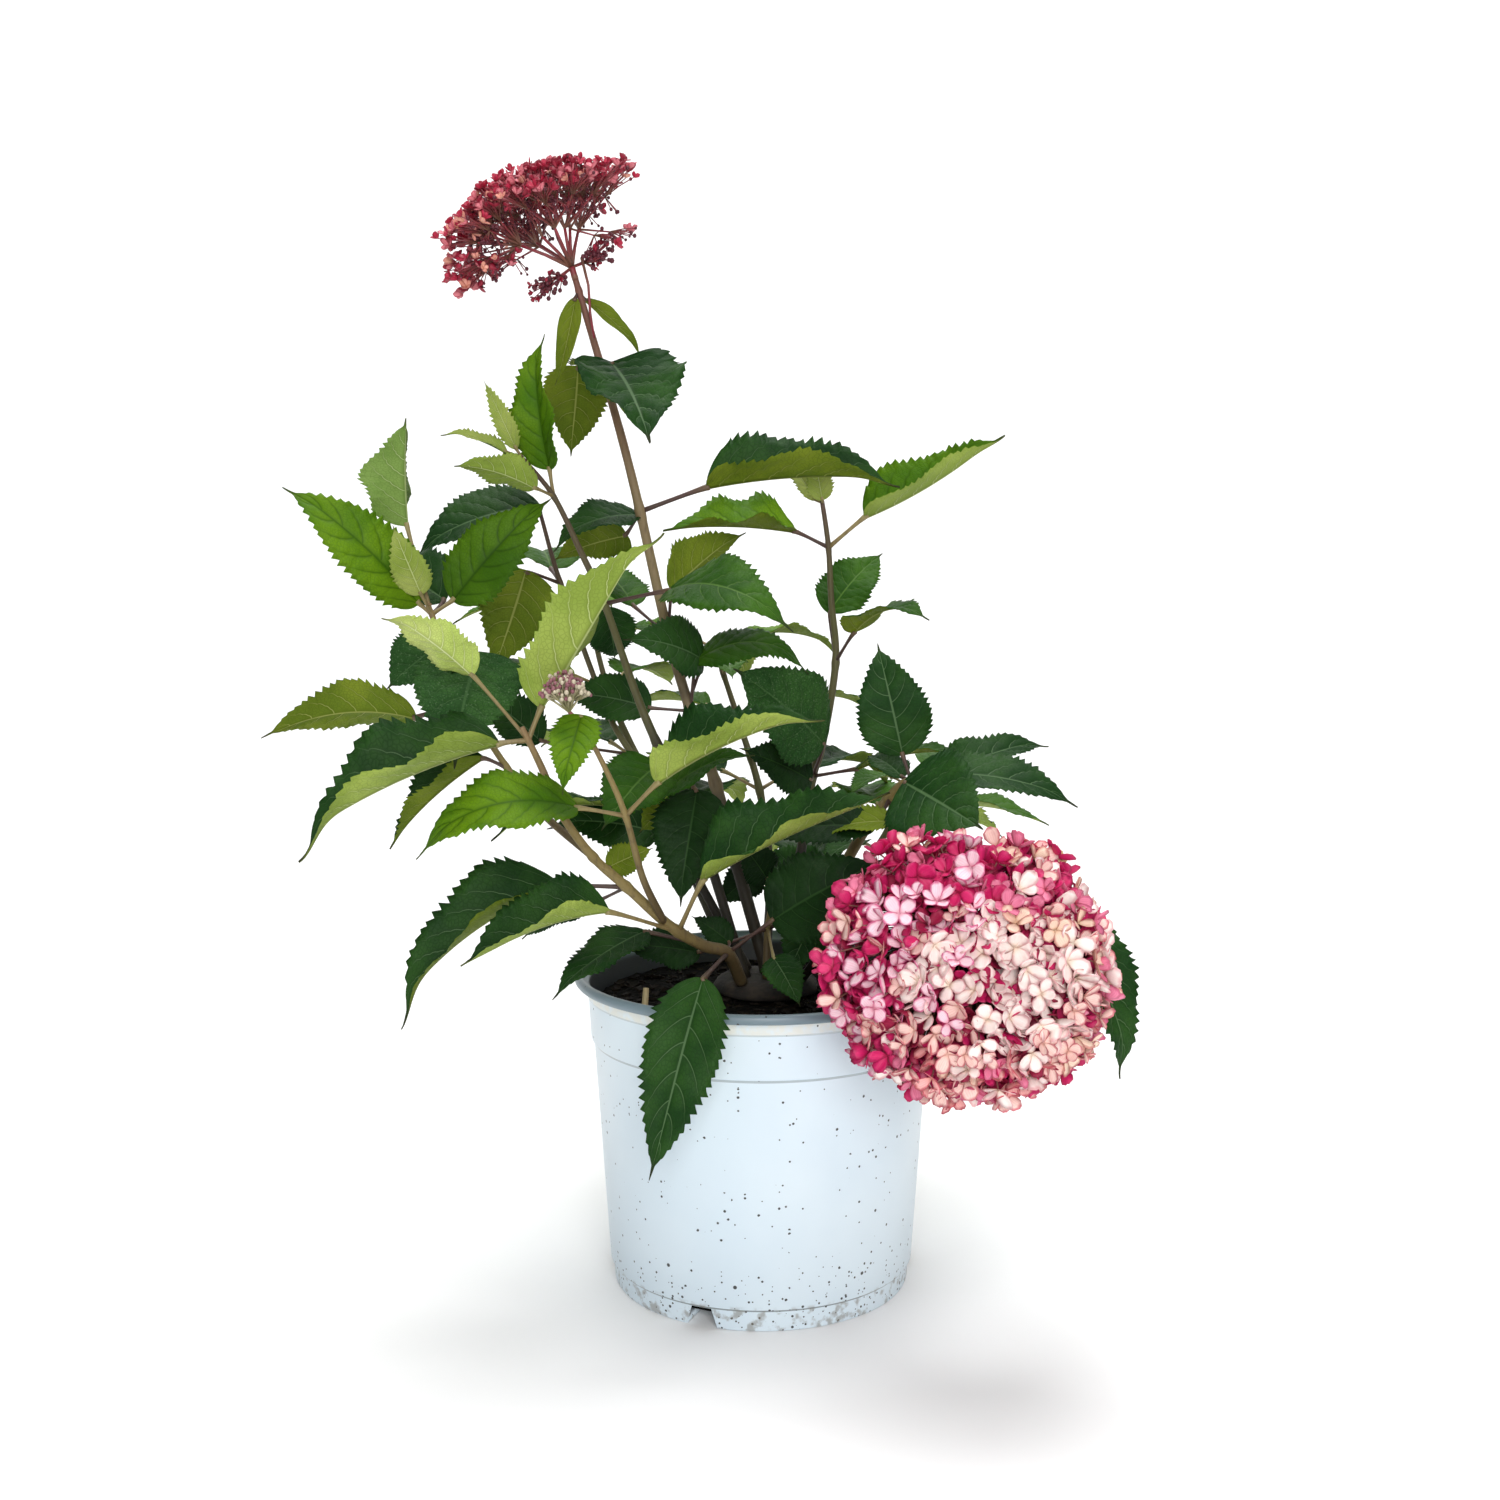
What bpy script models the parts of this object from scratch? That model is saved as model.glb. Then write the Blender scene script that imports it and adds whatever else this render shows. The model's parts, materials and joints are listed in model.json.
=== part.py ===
"""Potted smooth hydrangea: a leafy shrub of slender canes in a nursery pot, with one large
mophead bloom hanging over the front right of the rim, a flat flower cluster on the tallest
cane and a small unopened one in front. Lengths below are in millimetres, +Z is up, the pot
stands on z = 0 round the Z axis and the side shown in the photo faces -Y."""

import math
import random

import bmesh
import bpy
from mathutils import Matrix, Vector

MM = 0.001
CLEAR = 0.3  # gap between pieces that meet
GOLDEN = math.radians(137.508)

# The pot: radii and heights of its outside, from the base up.
POT_HEIGHT = 190.8
BASE_RADIUS = 90.2
FOOT_HEIGHT = 12.9
FOOT_RADIUS = 90.8
WALL_FOOT_RADIUS = 92.6
STEP_HEIGHT = 150.0
WALL_TOP_RADIUS = 101.8
BAND_FOOT_RADIUS = 103.4
LINE_HEIGHT = 177.0
BAND_TOP_RADIUS = 105.0
LIP_HEIGHT = 185.2
LIP_RADIUS = 113.2
LIP_INNER_RADIUS = 109.2
WALL = 1.9
FLOOR = 7.0
POT_SIDES = 44

# The drainage notches in the foot, counted from the front and turning left.
NOTCHES = 3
NOTCH_ANGLE = -112.6
NOTCH_FOOT = 20.0
NOTCH_TOP = 11.0
NOTCH_HEIGHT = 11.9
NOTCH_DEPTH = 26.0

SOIL_TOP = 175.0
SOIL_DIP = 2.5
STOOL_CENTRE = (3.0, 8.0)
STOOL_RADIUS = 31.0
STOOL_TOP = 185.0

# Each cane: the points that it passes, and its radius at the foot and at the tip.
CANES = {
    "tall": (
        [(4, 13, 0), (-14, 15, 249), (-28, 18, 302), (-43, 15, 347), (-56, 10, 393), (-72, 0, 467),
         (-82, -5, 509), (-93, -5, 548), (-103, -10, 583), (-110, -10, 607)],
        4.4, 1.9),
    "mid": (
        [(-10, 2, 0), (-34, -5, 265), (-62, -15, 330), (-75, -15, 362), (-92, -20, 413),
         (-105, -25, 443), (-120, -30, 475), (-137, -40, 497)],
        3.5, 1.3),
    "inner": (
        [(-8, 21, 0), (-40, 24, 243), (-68, 26, 299), (-80, 28, 319), (-96, 34, 347),
         (-124, 40, 424), (-136, 40, 467)],
        3.2, 1.3),
    "left": (
        [(-12, -13, 0), (-20, -40, 209), (-34, -50, 216), (-53, -65, 231), (-76, -80, 256),
         (-94, -90, 275), (-110, -105, 302), (-118, -115, 326), (-125, -120, 343), (-128, -122, 350)],
        4.2, 1.5),
    "left_side": (
        [(-94, -90, 275), (-123, -80, 298), (-143, -72, 322), (-167, -65, 360), (-186, -60, 408),
         (-187, -60, 414)],
        2.4, 1.3),
    "front": (
        [(-56, -68, 234), (-66, -95, 264), (-74, -112, 301), (-84, -118, 327), (-95, -125, 350),
         (-102, -130, 359)],
        2.4, 1.0),
    "right": (
        [(18, 12, 0), (21, 22, 229), (27, 28, 272), (32, 30, 305), (38, 30, 325), (46, 30, 376),
         (43, 28, 414), (41, 25, 446), (37, 22, 473), (36, 22, 477)],
        3.7, 1.2),
    "bloom": (
        [(17, -8, 0), (38, -6, 232), (60, -28, 279), (73, -46, 301), (85, -62, 313),
         (103, -85, 306), (110, -105, 281), (111, -138, 240)],
        3.7, 2.6),
    "low_right": (
        [(25, -2, 0), (45, -25, 215), (85, -40, 243), (125, -60, 252), (130, -62, 253)],
        3.0, 1.2),
    "low_front": (
        [(3, -3, 0), (4, 0, 215), (8, -4, 240), (9, -4, 246)],
        2.6, 1.2),
    "rear_left": (
        [(-17, 26, 0), (-42, 52, 236), (-70, 82, 290), (-98, 108, 345), (-112, 122, 392),
         (-114, 124, 400)],
        3.4, 1.3),
    "rear": (
        [(3, 30, 0), (6, 62, 236), (0, 98, 285), (-14, 122, 330), (-28, 134, 372), (-29, 135, 380)],
        3.4, 1.3),
    "rear_right": (
        [(20, 27, 0), (44, 52, 212), (68, 78, 240), (86, 100, 264), (95, 112, 286),
         (96, 114, 293)],
        3.4, 1.3),
}

# Each piece of a cane: node, cane, and where it starts and ends, counted in points of the cane.
LIMBS = [
    ("cane_tall", "tall", 0, 2.6),
    ("cane_mid", "mid", 0, 1.4),
    ("cane_inner", "inner", 0, 2.6),
    ("cane_left", "left", 4.4, 7.5),
    ("cane_left_side", "left_side", 0, 1.7),
    ("cane_front", "front", 0, 1.7),
    ("cane_right", "right", 0, 2.6),
    ("cane_bloom", "bloom", 0, 2.6),
    ("cane_low_right", "low_right", 0, 1.6),
    ("cane_rear_left", "rear_left", 0, 1.2),
    ("cane_rear", "rear", 0, 1.2),
    ("cane_rear_right", "rear_right", 0, 1.2),
]
BRANCHES = {"cane_left_side": "left", "cane_front": "left"}

# Each leafy shoot: node, cane, where it starts and ends, and its leaves. A leaf is: where it
# joins the cane; its stalk's heading, lift and length; its blade's heading, rise and length;
# the heading and rise that its upper face looks to; its width and its arch as shares of its
# length; and the lift of its two halves from flat. Headings turn from +X to +Y, in degrees.
SHOOTS = [
    ("leaves_tall_low", "tall", 2.6, 4.5, [
        (3.0, 178, 4, 24, 172, 8, 58, -90, 40, 0.60, 0.08, 10),
        (3.0, -79, 64, 35, 0, -3, 69, -90, 55, 0.50, 0.24, -4),
        (3.1, -53, 59, 32, -150, 16, 54, -90, 35, 0.74, 0.10, 10),
        (4.0, -73, 79, 28, 33, 35, 62, 90, 35, 0.62, 0.04, 12),
        (4.0, 153, 36, 30, 122, 24, 58, -60, 60, 0.56, 0.08, 10),
    ]),
    ("leaves_tall_high", "tall", 4.5, 8.7, [
        (5.0, -7, 20, 42, -5, 2, 114, -90, 67, 0.50, 0.04, 50),
        (5.0, 98, -7, 10, -152, -18, 58, -90, 60, 0.60, 0.10, 10),
        (5.0, 126, -42, 20, 145, -15, 59, 90, 30, 0.55, 0.06, 12),
        (7.0, -28, 40, 8, -66, -37, 82, -75, 57, 0.86, 0.06, 20),
        (7.0, 147, 14, 19, 101, -56, 62, 90, 40, 0.66, 0.06, 12),
        (8.4, -128, -51, 5, -132, -73, 54, -90, 30, 0.26, -0.06, 24),
        (8.4, 56, -39, 6, 9, -44, 48, -90, 40, 0.22, 0.10, 24),
    ]),
    ("leaves_mid", "mid", 1.4, 7.0, [
        (1.9, -90, -12, 22, -126, -31, 62, -90, 40, 0.70, 0.10, 10),
        (2.0, -87, -39, 45, -25, 27, 66, -90, 60, 0.60, 0.08, 10),
        (2.0, -43, -36, 41, -104, -66, 70, -95, 25, 0.62, 0.08, 10),
        (2.1, -19, -57, 37, -167, -41, 37, -90, 20, 0.80, 0.06, 10),
        (4.0, -15, 12, 40, -36, -13, 88, -80, 40, 0.54, 0.17, 4),
        (4.0, 90, -12, 12, 84, -44, 46, -90, 30, 0.66, 0.08, 10),
        (6.0, 180, 82, 15, -115, 81, 76, -120, 10, 0.46, 0.06, 30),
        (6.0, -125, 16, 15, -152, 14, 50, 90, 50, 0.56, 0.08, 14),
        (7.0, -145, 12, 9, -164, 18, 38, -90, 60, 0.34, 0.06, 20),
        (7.0, 180, 57, 5, 180, 64, 43, -90, 20, 0.30, 0.04, 24),
    ]),
    ("leaves_inner", "inner", 2.6, 6.0, [
        (3.0, -155, 10, 59, 166, 35, 52, -90, 40, 0.60, 0.08, 10),
        (5.0, -142, 19, 26, 135, -64, 70, 90, 5, 0.70, 0.05, 8),
        (5.0, 110, 20, 26, 104, 5, 80, 100, 75, 0.58, 0.10, 12),
        (6.0, -80, 30, 9, -165, -21, 84, -90, 50, 0.57, 0.10, 8),
    ]),
    ("leaves_left_low", "left", 0, 4.4, [
        (1.0, -101, 1, 66, -131, -66, 112, -90, 20, 0.39, 0.06, 14),
        (1.0, -11, 38, 33, -12, 32, 76, -90, 30, 0.70, 0.06, 10),
        (1.1, 166, 12, 50, -138, -22, 74, -80, 78, 0.46, 0.05, 6),
        (2.75, -134, 21, 56, -159, -16, 87, -90, 64, 0.56, 0.08, 52),
        (2.75, -60, 51, 45, -11, 26, 117, -90, 62, 0.46, 0.03, 45),
        (4.0, 180, 2, 37, -159, -35, 117, -90, 67, 0.46, 0.11, 48),
        (4.0, 124, -22, 33, 167, -26, 54, -90, 60, 0.56, 0.08, 10),
        (4.0, 145, 34, 17, 5, 25, 28, -90, 20, 0.70, 0.06, 10),
        (1.15, 82, -3, 26, 175, 35, 29, -90, 40, 0.66, 0.08, 10),
    ]),
    ("leaves_left_front", "left", 7.5, 9.0, [
        (8.0, -170, 51, 45, -154, 35, 58, 70, 40, 0.62, 0.05, 10),
        (8.0, 28, 67, 18, 5, 58, 114, 150, 10, 0.46, 0.00, 34),
        (8.0, -172, -5, 15, -171, -24, 122, -90, 67, 0.50, 0.05, 50),
    ]),
    ("leaves_left_outer", "left_side", 1.7, 5.0, [
        (2.0, -168, 29, 15, 168, -43, 80, -60, 67, 0.36, 0.05, 58),
        (3.0, 161, -19, 33, -170, -6, 87, 60, 35, 0.46, 0.14, 18),
        (3.0, -47, 64, 31, -101, -53, 72, -90, 30, 0.84, 0.08, 8),
        (3.6, -60, 20, 14, -155, -38, 46, -90, 30, 0.90, 0.06, 6),
        (4.0, -162, 41, 9, -165, 43, 97, -100, 40, 0.42, 0.10, 8),
        (4.0, 46, 27, 16, 5, 46, 81, -90, 20, 0.50, 0.07, 8),
        (4.0, 151, 71, 52, 100, 81, 62, 150, 10, 0.80, 0.02, 36),
        (4.0, -135, 58, 13, -138, 68, 42, -90, 10, 0.52, 0.06, 16),
        (4.0, 75, 22, 20, 136, 13, 77, -90, 40, 0.58, 0.10, 10),
    ]),
    ("leaves_front", "front", 1.7, 4.4, [
        (2.0, -162, 13, 27, -166, -13, 89, -90, 50, 0.48, 0.21, 8),
        (2.0, -25, 45, 27, -19, 24, 100, -90, 73, 0.50, 0.05, 47),
        (4.0, -103, 67, 8, -100, -46, 50, -90, 30, 0.52, 0.06, 10),
    ]),
    ("leaves_right_low", "right", 2.6, 5.5, [
        (3.0, -93, 0, 22, -157, 24, 51, -90, 35, 0.72, 0.06, 10),
        (3.0, -72, 45, 31, -160, 37, 76, -90, 35, 0.80, 0.08, 6),
        (3.0, -46, 12, 36, -10, 9, 72, -90, 85, 0.40, 0.08, 14),
        (5.0, 118, 73, 31, 34, 42, 56, -115, 20, 0.68, 0.08, 8),
        (5.0, -61, 44, 27, -48, 12, 62, -60, 55, 0.66, 0.14, 8),
    ]),
    ("leaves_right_high", "right", 5.5, 9.0, [
        (7.0, -166, 26, 23, -169, 0, 81, -90, 67, 0.56, 0.04, 34),
        (7.0, -13, 40, 29, -14, 32, 96, -90, 67, 0.46, -0.05, 45),
        (8.0, -92, 15, 5, -126, 71, 33, -90, 15, 0.50, 0.06, 20),
        (8.0, 131, 14, 6, 156, 53, 38, -90, 40, 0.42, 0.06, 20),
    ]),
    ("leaves_bloom", "bloom", 2.6, 5.6, [
        (3.0, -75, -25, 23, 168, -13, 60, -90, 65, 0.40, 0.08, 12),
        (3.1, -123, -41, 23, 170, -6, 70, -90, 45, 0.42, 0.08, 10),
        (4.0, 141, 67, 16, 147, 76, 66, -95, 10, 0.64, 0.08, 8),
        (4.0, 0, 24, 12, -17, -9, 84, -90, 60, 0.46, 0.08, 10),
        (4.0, 46, -9, 17, 12, 17, 76, -90, 60, 0.46, 0.08, 12),
        (4.0, -115, 8, 14, -50, -20, 64, -100, 22, 0.90, 0.06, 4),
        (4.1, 116, 6, 13, 119, 14, 38, -90, 60, 0.56, 0.08, 10),
    ]),
    ("leaves_low_right", "low_right", 1.6, 4.0, [
        (3.0, -20, -10, 52, -40, -66, 98, -60, 20, 0.46, 0.06, 10),
        (3.0, 75, -5, 28, 72, -25, 72, 70, 60, 0.58, 0.10, 12),
        (2.0, 80, 5, 30, 84, -20, 76, 80, 66, 0.58, 0.08, 12),
    ]),
    ("leaves_low_front", "low_front", 0, 3.0, [
        (2.0, 101, 10, 39, -176, -40, 36, -90, 30, 0.72, 0.06, 8),
        (2.0, -124, 45, 10, -151, 53, 34, -90, 30, 0.72, 0.06, 8),
        (1.0, -86, -12, 40, -59, -39, 38, -90, 50, 0.62, 0.08, 10),
        (1.0, -35, 27, 43, -143, -57, 49, -90, 30, 0.62, 0.06, 8),
        (1.0, -149, -11, 48, -173, 6, 50, -90, 45, 0.60, 0.06, 8),
    ]),
]

# The rear of the crown, which the photo doesn't show: pairs of leaves, each pair crossing the
# one below, on three canes. A shoot is: node, cane, where it starts and ends, the heading that
# the cane leans to, and the places of its pairs.
REAR_SHOOTS = [
    ("leaves_rear_left", "rear_left", 1.2, 5.0, 136, (1.6, 2.3, 3.15, 3.8, 4.6)),
    ("leaves_rear", "rear", 1.2, 5.0, 92, (2.05, 2.5, 3.0, 3.7, 4.5)),
    ("leaves_rear_right", "rear_right", 1.2, 5.0, 48, (1.5, 2.4, 3.0, 4.4)),
]
INNER_LEAVES = {
    "leaves_rear": [(1.3, 130, 0, 26, 178, 2, 66, -90, 45, 0.50, 0.06, 8)],
    "leaves_rear_right": [(1.4, 178, 30, 14, -160, 20, 60, -90, 30, 0.66, 0.08, 8)],
    "leaves_rear_left": [(1.4, 200, 30, 16, -170, 8, 70, -90, 45, 0.62, 0.08, 8)],
}
REAR_LEAF = 92.0
REAR_STALK = 30.0
REAR_SEED = 11

# A blade's outline: share of its length, and half width as a share of the widest.
OUTLINE = [(0.0, 0.08), (0.12, 0.76), (0.34, 1.0), (0.62, 0.78), (0.84, 0.32), (1.0, 0.0)]
BLADE_THICKNESS = 0.02  # at the midrib, as a share of the blade's length
LEAST_THICKNESS = 1.2
STALK_RADIUS = 1.15

# The mophead: the reach of its rim from the centre, by twelfths of a turn from +X upwards.
BLOOM_CENTRE = (110, -137, 221)
BLOOM_REACH = [84, 84, 84, 71, 83, 83, 80, 75, 76, 74, 82, 88]
BLOOM_FRONT = 66.0
BLOOM_BACK = 24.0
BLOOM_FLORETS = 68
FLORET_REACH = 12.5
FLORET_NOTCH = 6.5
FLORET_DEPTH = 15.0

# The flat flower cluster on the tall cane and the unopened one in front.
CORYMB_HUB = (-110, -10, 607)
CORYMB_CENTRE = (-129, -10, 638)
CORYMB_TILT = 21.0
CORYMB_REACH = (60.0, 50.0)
CORYMB_DOME = 22.0
CORYMB_RAYS = 9
CORYMB_TWIGS = 4
CORYMB_LOW = [(-176, -14, 603), (-150, -22, 601), (-131, -16, 592), (-99, -18, 611), (-82, -14, 628)]
BUD_HUB = (-102, -130, 359)
BUD_CENTRE = (-104, -131, 368)
BUD_REACH = (12.0, 10.0)


def clear_scene():
    for obj in list(bpy.data.objects):
        bpy.data.objects.remove(obj, do_unlink=True)


def paint(obj, name, colour, roughness):
    """Gives an object a Principled material of its own."""
    material = bpy.data.materials.new(name)
    material.use_nodes = True
    shader = material.node_tree.nodes["Principled BSDF"]
    shader.inputs["Base Color"].default_value = (*colour, 1.0)
    shader.inputs["Roughness"].default_value = roughness
    obj.data.materials.clear()
    obj.data.materials.append(material)


def new_object(name, mesh_maker, collection):
    """An object whose mesh is drawn by a function that fills a bmesh, in millimetres."""
    bm = bmesh.new()
    mesh_maker(bm)
    bmesh.ops.scale(bm, vec=(MM, MM, MM), verts=bm.verts)
    bmesh.ops.recalc_face_normals(bm, faces=bm.faces)
    mesh = bpy.data.meshes.new(name)
    bm.to_mesh(mesh)
    bm.free()
    obj = bpy.data.objects.new(name, mesh)
    collection.objects.link(obj)
    return obj


def heading_vector(heading, rise):
    """The unit vector at this heading and rise, in degrees."""
    h = math.radians(heading)
    r = math.radians(rise)
    return Vector((math.cos(r) * math.cos(h), math.cos(r) * math.sin(h), math.sin(r)))


def on_cane(points, at):
    """The place on the smooth curve through the points, where `at` counts points."""
    i = min(int(at), len(points) - 2)
    t = at - i
    p1 = Vector(points[i])
    p2 = Vector(points[i + 1])
    p0 = Vector(points[i - 1]) if i > 0 else 2 * p1 - p2
    p3 = Vector(points[i + 2]) if i + 2 < len(points) else 2 * p2 - p1
    return 0.5 * (2 * p1 + (p2 - p0) * t + (2 * p0 - 5 * p1 + 4 * p2 - p3) * t ** 2
                  + (3 * p1 - p0 - 3 * p2 + p3) * t ** 3)


def cane_points(name):
    """The cane's points, its foot set on the stool or at the limb that it grows from."""
    points = [Vector(p) for p in CANES[name][0]]
    if points[0].z == 0:
        points[0].z = STOOL_TOP + CLEAR
        points[1] = Vector(CANES[name][0][1])
    return points


def cane_radius(name, at):
    points, foot, tip = CANES[name]
    return foot + (tip - foot) * at / (len(points) - 1)


def rings_along(path, radii, sides, headings=None):
    """Rings of points square to the path, carried along it without twisting."""
    rings = []
    side = None
    for i, centre in enumerate(path):
        ahead = path[min(i + 1, len(path) - 1)] - path[max(i - 1, 0)]
        ahead = headings[i] if headings else ahead.normalized()
        if side is None:
            side = ahead.orthogonal()
        side = (side - ahead * side.dot(ahead)).normalized()
        other = ahead.cross(side)
        turns = [2 * math.pi * k / sides for k in range(sides)]
        rings.append([centre + radii[i] * (math.cos(a) * side + math.sin(a) * other) for a in turns])
    return rings


def loft(bm, rings):
    """Joins the rings with quads and closes both ends."""
    made = [[bm.verts.new(p) for p in ring] for ring in rings]
    count = len(made[0])
    for low, high in zip(made, made[1:]):
        for k in range(count):
            n = (k + 1) % count
            bm.faces.new((low[k], low[n], high[n], high[k]))
    bm.faces.new(list(reversed(made[0])))
    bm.faces.new(made[-1])


def tube(bm, path, radii, sides, headings=None):
    loft(bm, rings_along(path, radii, sides, headings))


def cane_tube(bm, name, start, end, sides=6, extra=0.0):
    """The piece of a cane between two places, its ends drawn back by half the clearance."""
    points = cane_points(name)
    halves = [k / 2 for k in range(int(2 * start) + 1, math.ceil(2 * end))]
    places = [start] + [at for at in halves if start + 0.15 < at < end - 0.15] + [end]
    path = [on_cane(points, at) for at in places]
    radii = [cane_radius(name, at) + extra for at in places]
    headings = [(on_cane(points, at + 0.02) - on_cane(points, at - 0.02)).normalized() for at in places]
    if start > 0:
        path[0] += headings[0] * CLEAR / 2
    if end < len(points) - 1:
        path[-1] -= headings[-1] * CLEAR / 2
    if start == 0 and CANES[name][0][0][2] == 0:
        headings[0] = Vector((0, 0, 1))
    tube(bm, path, radii, sides, headings)


def blade_frame(heading, rise, face_heading, face_rise):
    """The directions along a blade, out of its upper face, and across it."""
    along = heading_vector(heading, rise)
    face = heading_vector(face_heading, face_rise)
    face = (face - along * face.dot(along)).normalized()
    return along, face, along.cross(face)


def leaf(bm, root, record):
    """A leaf on its stalk as one closed shape, its blade folded, arched and thickest along the midrib."""
    _, stalk_heading, stalk_lift, stalk, heading, rise, length, fh, fr, width, arch, fold = record
    along, face, across = blade_frame(heading, rise, fh, fr)
    stem = heading_vector(stalk_heading, stalk_lift)
    base = root + stem * stalk
    side = across - stem * across.dot(stem)
    if side.length < 0.35:
        side = stem.cross(face)
    side.normalize()
    up = side.cross(stem)
    rings = [[root - side * STALK_RADIUS, root + up * STALK_RADIUS, root + side * STALK_RADIUS,
              root - up * STALK_RADIUS]]
    thick = max(LEAST_THICKNESS, BLADE_THICKNESS * length)
    slope = math.radians(fold)
    for t, half in OUTLINE:
        mid = base + along * length * t + face * (4 * arch * length * t * (1 - t))
        reach = max(0.5 * width * length * half, STALK_RADIUS if t < 0.1 else 0.2)
        out = across * reach * math.cos(slope)
        lift = face * reach * math.sin(slope)
        deep = thick * (1.0 if half > 0.2 or t < 0.1 else 0.5)
        rings.append([mid - out + lift, mid + face * 0.25 * deep, mid + out + lift, mid - face * 0.75 * deep])
    loft(bm, rings)


def join(name, makers, collection, solver="MANIFOLD"):
    """One solid from the first shape and the rest, by one Boolean union on a collection."""
    body = new_object(name, makers[0], collection)
    parts = bpy.data.collections.new(name + "_parts")
    bpy.context.scene.collection.children.link(parts)
    for k, maker in enumerate(makers[1:]):
        new_object(f"{name}_part_{k}", maker, parts)
    union = body.modifiers.new("union", "BOOLEAN")
    union.operation = "UNION"
    union.operand_type = "COLLECTION"
    union.collection = parts
    union.solver = solver
    apply_modifiers(body)
    for obj in list(parts.objects):
        bpy.data.objects.remove(obj, do_unlink=True)
    bpy.data.collections.remove(parts)
    return body


def apply_modifiers(obj):
    """Swaps the object's mesh for the one that its modifiers make."""
    bpy.context.view_layer.update()
    graph = bpy.context.evaluated_depsgraph_get()
    made = bpy.data.meshes.new_from_object(obj.evaluated_get(graph))
    obj.modifiers.clear()
    obj.data = made


def cut(obj, makers, cutters):
    """Takes the cutters' shapes from the object and removes them."""
    for k, maker in enumerate(makers):
        cutter = new_object(f"{obj.name}_cutter_{k}", maker, cutters)
        cutter.hide_render = True
        away = obj.modifiers.new(f"cut_{k}", "BOOLEAN")
        away.operation = "DIFFERENCE"
        away.solver = "EXACT"
        away.object = cutter
    apply_modifiers(obj)
    for cutter in list(cutters.objects):
        bpy.data.objects.remove(cutter, do_unlink=True)


def turned(name, profile, sides, collection):
    """A solid turned round the Z axis from its outline of radius and height, by a Screw modifier."""
    bm = bmesh.new()
    corners = [bm.verts.new((radius * MM, 0, z * MM)) for radius, z in profile]
    for low, high in zip(corners, corners[1:]):
        bm.edges.new((low, high))
    mesh = bpy.data.meshes.new(name)
    bm.to_mesh(mesh)
    bm.free()
    obj = bpy.data.objects.new(name, mesh)
    collection.objects.link(obj)
    sweep = obj.modifiers.new("turn", "SCREW")
    sweep.steps = sides
    sweep.render_steps = sides
    sweep.use_merge_vertices = True
    sweep.merge_threshold = 0.00001
    apply_modifiers(obj)
    bm = bmesh.new()
    bm.from_mesh(obj.data)
    bmesh.ops.recalc_face_normals(bm, faces=bm.faces)
    bm.to_mesh(obj.data)
    bm.free()
    return obj


def pot_profile():
    """The pot's outline: from its flat underside up the outside, over the lip and down the inside."""
    inside_foot = WALL_FOOT_RADIUS - WALL
    inside_top = BAND_TOP_RADIUS - WALL
    return [
        (0, 0), (BASE_RADIUS - 1, 0), (BASE_RADIUS, 1),
        (FOOT_RADIUS, FOOT_HEIGHT), (WALL_FOOT_RADIUS, FOOT_HEIGHT + 0.6),
        (WALL_TOP_RADIUS, STEP_HEIGHT), (BAND_FOOT_RADIUS, STEP_HEIGHT + 1.2),
        (BAND_TOP_RADIUS, LINE_HEIGHT), (BAND_TOP_RADIUS + 0.8, LINE_HEIGHT + 0.8),
        (BAND_TOP_RADIUS + 1.4, LIP_HEIGHT - 1.0), (LIP_RADIUS, LIP_HEIGHT - 0.4),
        (LIP_RADIUS - 0.6, POT_HEIGHT - 1.6), (LIP_INNER_RADIUS + 1.6, POT_HEIGHT),
        (LIP_INNER_RADIUS, POT_HEIGHT - 0.4), (inside_top + 1.8, LIP_HEIGHT + 0.5),
        (inside_top - 1.6, STEP_HEIGHT), (inside_foot, FLOOR + 6), (inside_foot - 5, FLOOR), (0, FLOOR),
    ]


def notch(bm, turn):
    """A wedge that is wider at the floor, through the foot of the pot's wall."""
    out = Vector((math.cos(turn), math.sin(turn), 0))
    side = Vector((-out.y, out.x, 0))
    rings = []
    for reach in (BASE_RADIUS - NOTCH_DEPTH, BASE_RADIUS + 8.0):
        corners = ((-NOTCH_FOOT, -2.0), (NOTCH_FOOT, -2.0), (NOTCH_TOP, NOTCH_HEIGHT),
                   (-NOTCH_TOP, NOTCH_HEIGHT))
        rings.append([out * reach + side * wide / 2 + Vector((0, 0, z)) for wide, z in corners])
    loft(bm, rings)


def make_pot(collection, cutters):
    pot = turned("pot", pot_profile(), POT_SIDES, collection)
    turns = [math.radians(NOTCH_ANGLE) + 2 * math.pi * k / NOTCHES for k in range(NOTCHES)]
    cut(pot, [lambda bm, turn=turn: notch(bm, turn) for turn in turns], cutters)
    paint(pot, "pot_plastic", (0.83, 0.87, 0.91), 0.42)


def make_soil(collection):
    wall_foot = WALL_FOOT_RADIUS - WALL - CLEAR - 0.5
    wall_top = BAND_TOP_RADIUS - WALL - 1.6 - CLEAR - 0.9
    profile = [
        (0, FLOOR + CLEAR), (wall_foot - 6.0, FLOOR + CLEAR), (wall_foot - 0.6, FLOOR + 7),
        (wall_top, STEP_HEIGHT), (wall_top + 0.6, SOIL_TOP - SOIL_DIP), (70, SOIL_TOP - 0.6),
        (48, SOIL_TOP), (0, SOIL_TOP),
    ]
    paint(turned("potting_mix", profile, 28, collection), "bark_mix", (0.02, 0.015, 0.012), 0.95)


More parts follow.
